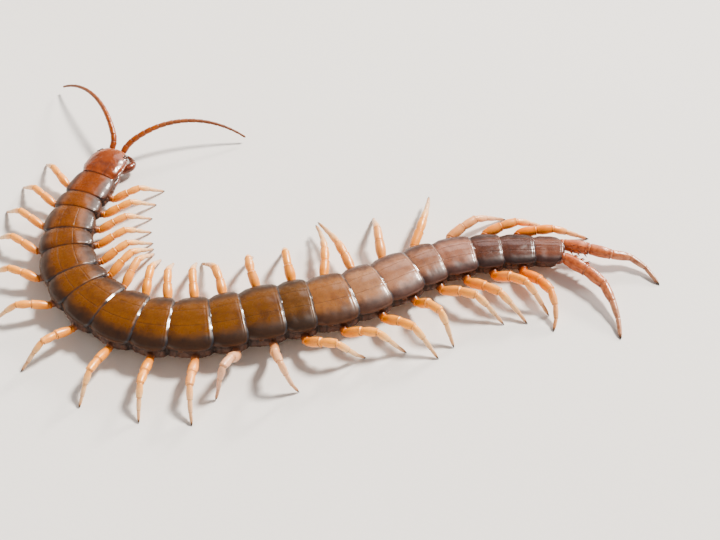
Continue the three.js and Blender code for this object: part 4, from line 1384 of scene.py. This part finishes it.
poisonClaw = {
    "plate": {
        "bottom": 1.15, "top": 2.62,
        "halfWidths": [(-0.5, 3.2), (0.15, 3.3), (1.8, 3.25), (3.6, 2.6)],
        "front": [(3.32, 0.97), (3.42, 0.9), (3.5, 0.78), (3.56, 0.6), (3.6, 0.3)],  # place, share of the height
        "sides": 64,
        "teeth": 4,  # on each side
        "toothPlace": (3.45, 0.35, 0.32, 1.62),  # forward, to the side of the middle, apart, height
        "tooth": (0.34, 0.15),  # length, radius
    },
    "start": 3.6,  # the plate's front
    "spread": 1.8, "height": 1.85,
    # path of one claw from its root: forward, outward, radius
    "path": [
        (-0.5, -0.2, 0.6), (0, 0, 0.7), (0.5, 0.45, 0.82), (1.2, 1.15, 0.94), (2.0, 1.65, 0.9), (2.7, 1.7, 0.76),
        (3.2, 1.45, 0.64), (3.6, 1.1, 0.54), (4.1, 0.4, 0.38), (4.4, -0.4, 0.24), (4.5, -1.1, 0.06),
    ],
    "joints": (0.56, 0.63, 0.70),  # shares of the path
    "tooth": (1.35, 0.45, 0.75, 0.28),  # on the inner side: forward, outward, length, radius
    "sides": 26,
}


def makeClawPlate():
    # a broad shield under the head with a groove down its middle and two toothed plates in front
    look = poisonClaw["plate"]
    middle, half = (look["bottom"] + look["top"]) / 2, (look["top"] - look["bottom"]) / 2
    frontPlaces, frontHeights = zip(*look["front"])
    forward = np.concatenate([np.linspace(-0.5, 3.2, 26), frontPlaces])
    close = np.concatenate([np.ones(26), frontHeights])[:, None]
    wide = tableCurve(look["halfWidths"], forward)[:, None]
    f, t = np.meshgrid(forward, turns(look["sides"]), indexing="ij")
    x, z = squarer(np.cos(t), 0.5), squarer(np.sin(t), 0.55)
    notch = 0.28 * hump(x, 0, 0.08) * ramp(f, 2.4, 3.5)
    grid = headPoint(f - notch, x * wide, middle + half * z * close + 0.10 * hump(x, 0, 0.03) * (z < 0))
    grid = grid + 0.02 * waviness(grid, 1.8, 300)[..., None] * up
    parts = [capped(grid, {"rim": 0.6 * ramp(f, 3.3, 3.6) + 0.7 * hump(x, 0, 0.02)})]
    ahead, aside, apart, level = look["toothPlace"]
    for side in leftRight.values():
        for tooth in range(look["teeth"]):
            root = headPoint(ahead, side * (aside + apart * tooth), level)
            parts.append(point(root, unit(headAhead - up * 0.1), *look["tooth"], up * 0.0, 8, 8))
    makePiece("clawPlate", joined(parts), "poisonClaw", ["claw_plate"])


def makePoisonClaw(name):
    look = poisonClaw
    side = leftRight[name]
    t = np.linspace(0, 1, 76)
    forward, outward, radii = evenCurve(look["path"], t).T
    start = look["start"] + trunk["gap"]
    level = look["height"] + 0.12 * hump(t, 0.35, 0.2)
    centres = headPoint(start + forward, side * (look["spread"] + outward), level)
    joint = humps(t, [(at, 0.009, 1) for at in look["joints"]])
    rim = humps(t, [(at - 0.025, 0.012, 1) for at in look["joints"]])
    radii = radii * (1 + 0.02 * np.sin(t * 9)) * (1 - 0.10 * joint + 0.035 * rim)
    values = {"horn": ramp(t, 0.70, 0.98), "joint": joint, "rim": rim}
    ahead, aside, long, thick = look["tooth"]
    root = headPoint(start + ahead, side * (look["spread"] + aside), look["height"])
    way = unit(headAhead * 0.75 - headLeft * side * 0.55)
    parts = [
        tube(centres, radii, look["sides"], values, tall=0.86),
        point(root, way, long, thick, headAhead * 0.1, 12, 10),
    ]
    makePiece(f"poisonClaw{name}", joined(parts), "poisonClaw", [f"poison_claw_{name.lower()}"])


palps = {
    # forward, outward, height, and the radii there
    "path": [(6.2, 0.9, 2.9), (7.0, 1.15, 2.75), (7.55, 0.95, 2.6), (7.95, 0.5, 2.5)],
    "radii": (0.34, 0.36, 0.28, 0.1),
    "joints": (0.36, 0.68),
    "sides": 16,
}


def makePalps():
    # the two small feeding palps between the shield and the poison claws
    look = palps
    t = np.linspace(0, 1, 30)
    forward, outward, height = evenCurve(look["path"], t).T
    joint = humps(t, [(at, 0.02, 1) for at in look["joints"]])
    radii = evenCurve(look["radii"], t) * (1 - 0.14 * joint)
    values = {"joint": joint, "horn": ramp(t, 0.9, 1) * 0.7}
    parts = [
        tube(headPoint(forward, side * outward, height), radii, look["sides"], values)
        for side in leftRight.values()
    ]
    makePiece("mouthPalps", joined(parts), "poisonClaw")


# Floor, light and camera

studio = {
    # radius in metres of the flat part of the floor, and of the curve by which its rim rises
    "floor": (1.2, 1.0),
    "floorSides": 96,
    "sky": ((0.92, 0.95, 1.0), 0.30),
    "contrast": "AgX - Medium High Contrast",
    # the key lamp is far away: its direction, width in degrees, strength, colour
    "keyLamp": ((0.45, 0.34, 0.62), 11.0, 5.8, (1.0, 0.95, 0.89)),
    # place in metres from the middle, size in metres, watts, colour
    "lamps": [
        ("backLamp", (0.10, 0.58, 0.40), 0.30, 0.55, (1.0, 0.94, 0.96)),
        ("lowLamp", (0.33, 0.45, 0.25), 0.09, 2.2, (1.0, 0.96, 0.92)),
    ],
    "camera": {"fov": 32.0, "elevation": 50.0, "distance": 0.2325, "target": (0.00699, -0.00733, 0.0)},
}


def addLamp(name, kind, place, colour, strength):
    lamp = bpy.data.lights.new(name, kind)
    lamp.color, lamp.energy = colour, strength
    holder = addObject(name, lamp)
    holder.location = place
    holder.rotation_mode = "QUATERNION"
    holder.rotation_quaternion = (-holder.location).to_track_quat("-Z", "Y")
    return lamp


def makeStudio():
    # a round floor whose rim curves up, so that no horizon shows
    flat, curve = studio["floor"]
    turn, angle = np.linspace(0, math.pi / 2, 24), turns(studio["floorSides"])
    reach = np.concatenate([[0.001, flat / 2], flat + curve * np.sin(turn)])[:, None]
    height = np.concatenate([[0, 0], curve * (1 - np.cos(turn))])[:, None]
    rings = np.stack([reach * np.cos(angle), reach * np.sin(angle), height + 0 * angle], -1)
    faces = flipped(sheetFaces(len(reach), len(angle), closed=True)) + [tuple(range(len(angle)))]
    addMesh("floor", rings.reshape(-1, 3), faces, "floor")
    scene = bpy.context.scene
    scene.world = bpy.data.worlds.new("studioSky")
    scene.world.use_nodes = True
    colour, strength = studio["sky"]
    background = scene.world.node_tree.nodes["Background"]
    background.inputs["Color"].default_value = (*colour, 1.0)
    background.inputs["Strength"].default_value = strength
    scene.view_settings.look = studio["contrast"]
    way, spread, strength, tint = studio["keyLamp"]
    addLamp("keyLamp", "SUN", way, tint, strength).angle = math.radians(spread)
    for name, place, size, watts, tint in studio["lamps"]:
        lamp = addLamp(name, "AREA", place, tint, watts)
        lamp.shape, lamp.size = "DISK", size


def makeCamera():
    look = studio["camera"]
    lens = bpy.data.cameras.new("camera")
    lens.sensor_fit = "HORIZONTAL"
    lens.sensor_width = 36
    lens.lens = 18 / math.tan(math.radians(look["fov"] / 2))
    lens.clip_start, lens.clip_end = 0.005, 10
    camera = addObject("camera", lens)
    rise = math.radians(look["elevation"])
    away = np.array([0, -math.cos(rise), math.sin(rise)])
    camera.location = np.array(look["target"]) + away * look["distance"]
    camera.rotation_euler = (math.pi / 2 - rise, 0, 0)
    bpy.context.scene.camera = camera


paints = {
    "backPlate": backPlatePaint(), "skin": skinPaint(), "bellyPlate": bellyPlatePaint(),
    "walkingLeg": walkingLegPaint(), "lastLeg": lastLegPaint(), "head": headPaint(), "feeler": feelerPaint(),
    "poisonClaw": poisonClawPaint(), "horn": hornPaint(), "eye": eyePaint(),
    "breathingHole": breathingHolePaint(), "floor": floorPaint(),
}
print("stage: materials", len(paints))

for plate in range(plateCount):
    makeBackPlate(plate)
print("stage: back plates", plateCount)

makeSkin()
for plate in range(plateCount):
    makeBellyPlate(plate)
for name, side in leftRight.items():
    holes = [breathingHoleOn(segment, side) for segment in breathingHole["segments"]]
    makePiece(f"breathingHoles{name}", joined(holes), "breathingHole")
print("stage: skin, belly plates and breathing holes")

for name in leftRight:
    claws = [part for leg in legNumbers for part in makeWalkingLeg(leg, name)]
    makePiece(f"footClaws{name}", joined(claws), "horn")
print("stage: walking legs")

makePiece("lastClaws", joined(makeLastLeg("Left") + makeLastLeg("Right")), "horn")
makeTailProcesses()
print("stage: last legs")

makeHead()
makeHeadShield()
eyes = [eyeOn(place, side) for place in head["eyes"] for side in leftRight.values()]
makePiece("eyes", joined(eyes), "eye")
for name in leftRight:
    makeFeeler(name)
makeMouthSkin()
makeClawPlate()
for name in leftRight:
    makePoisonClaw(name)
makePalps()
print("stage: head")

makeStudio()
makeCamera()
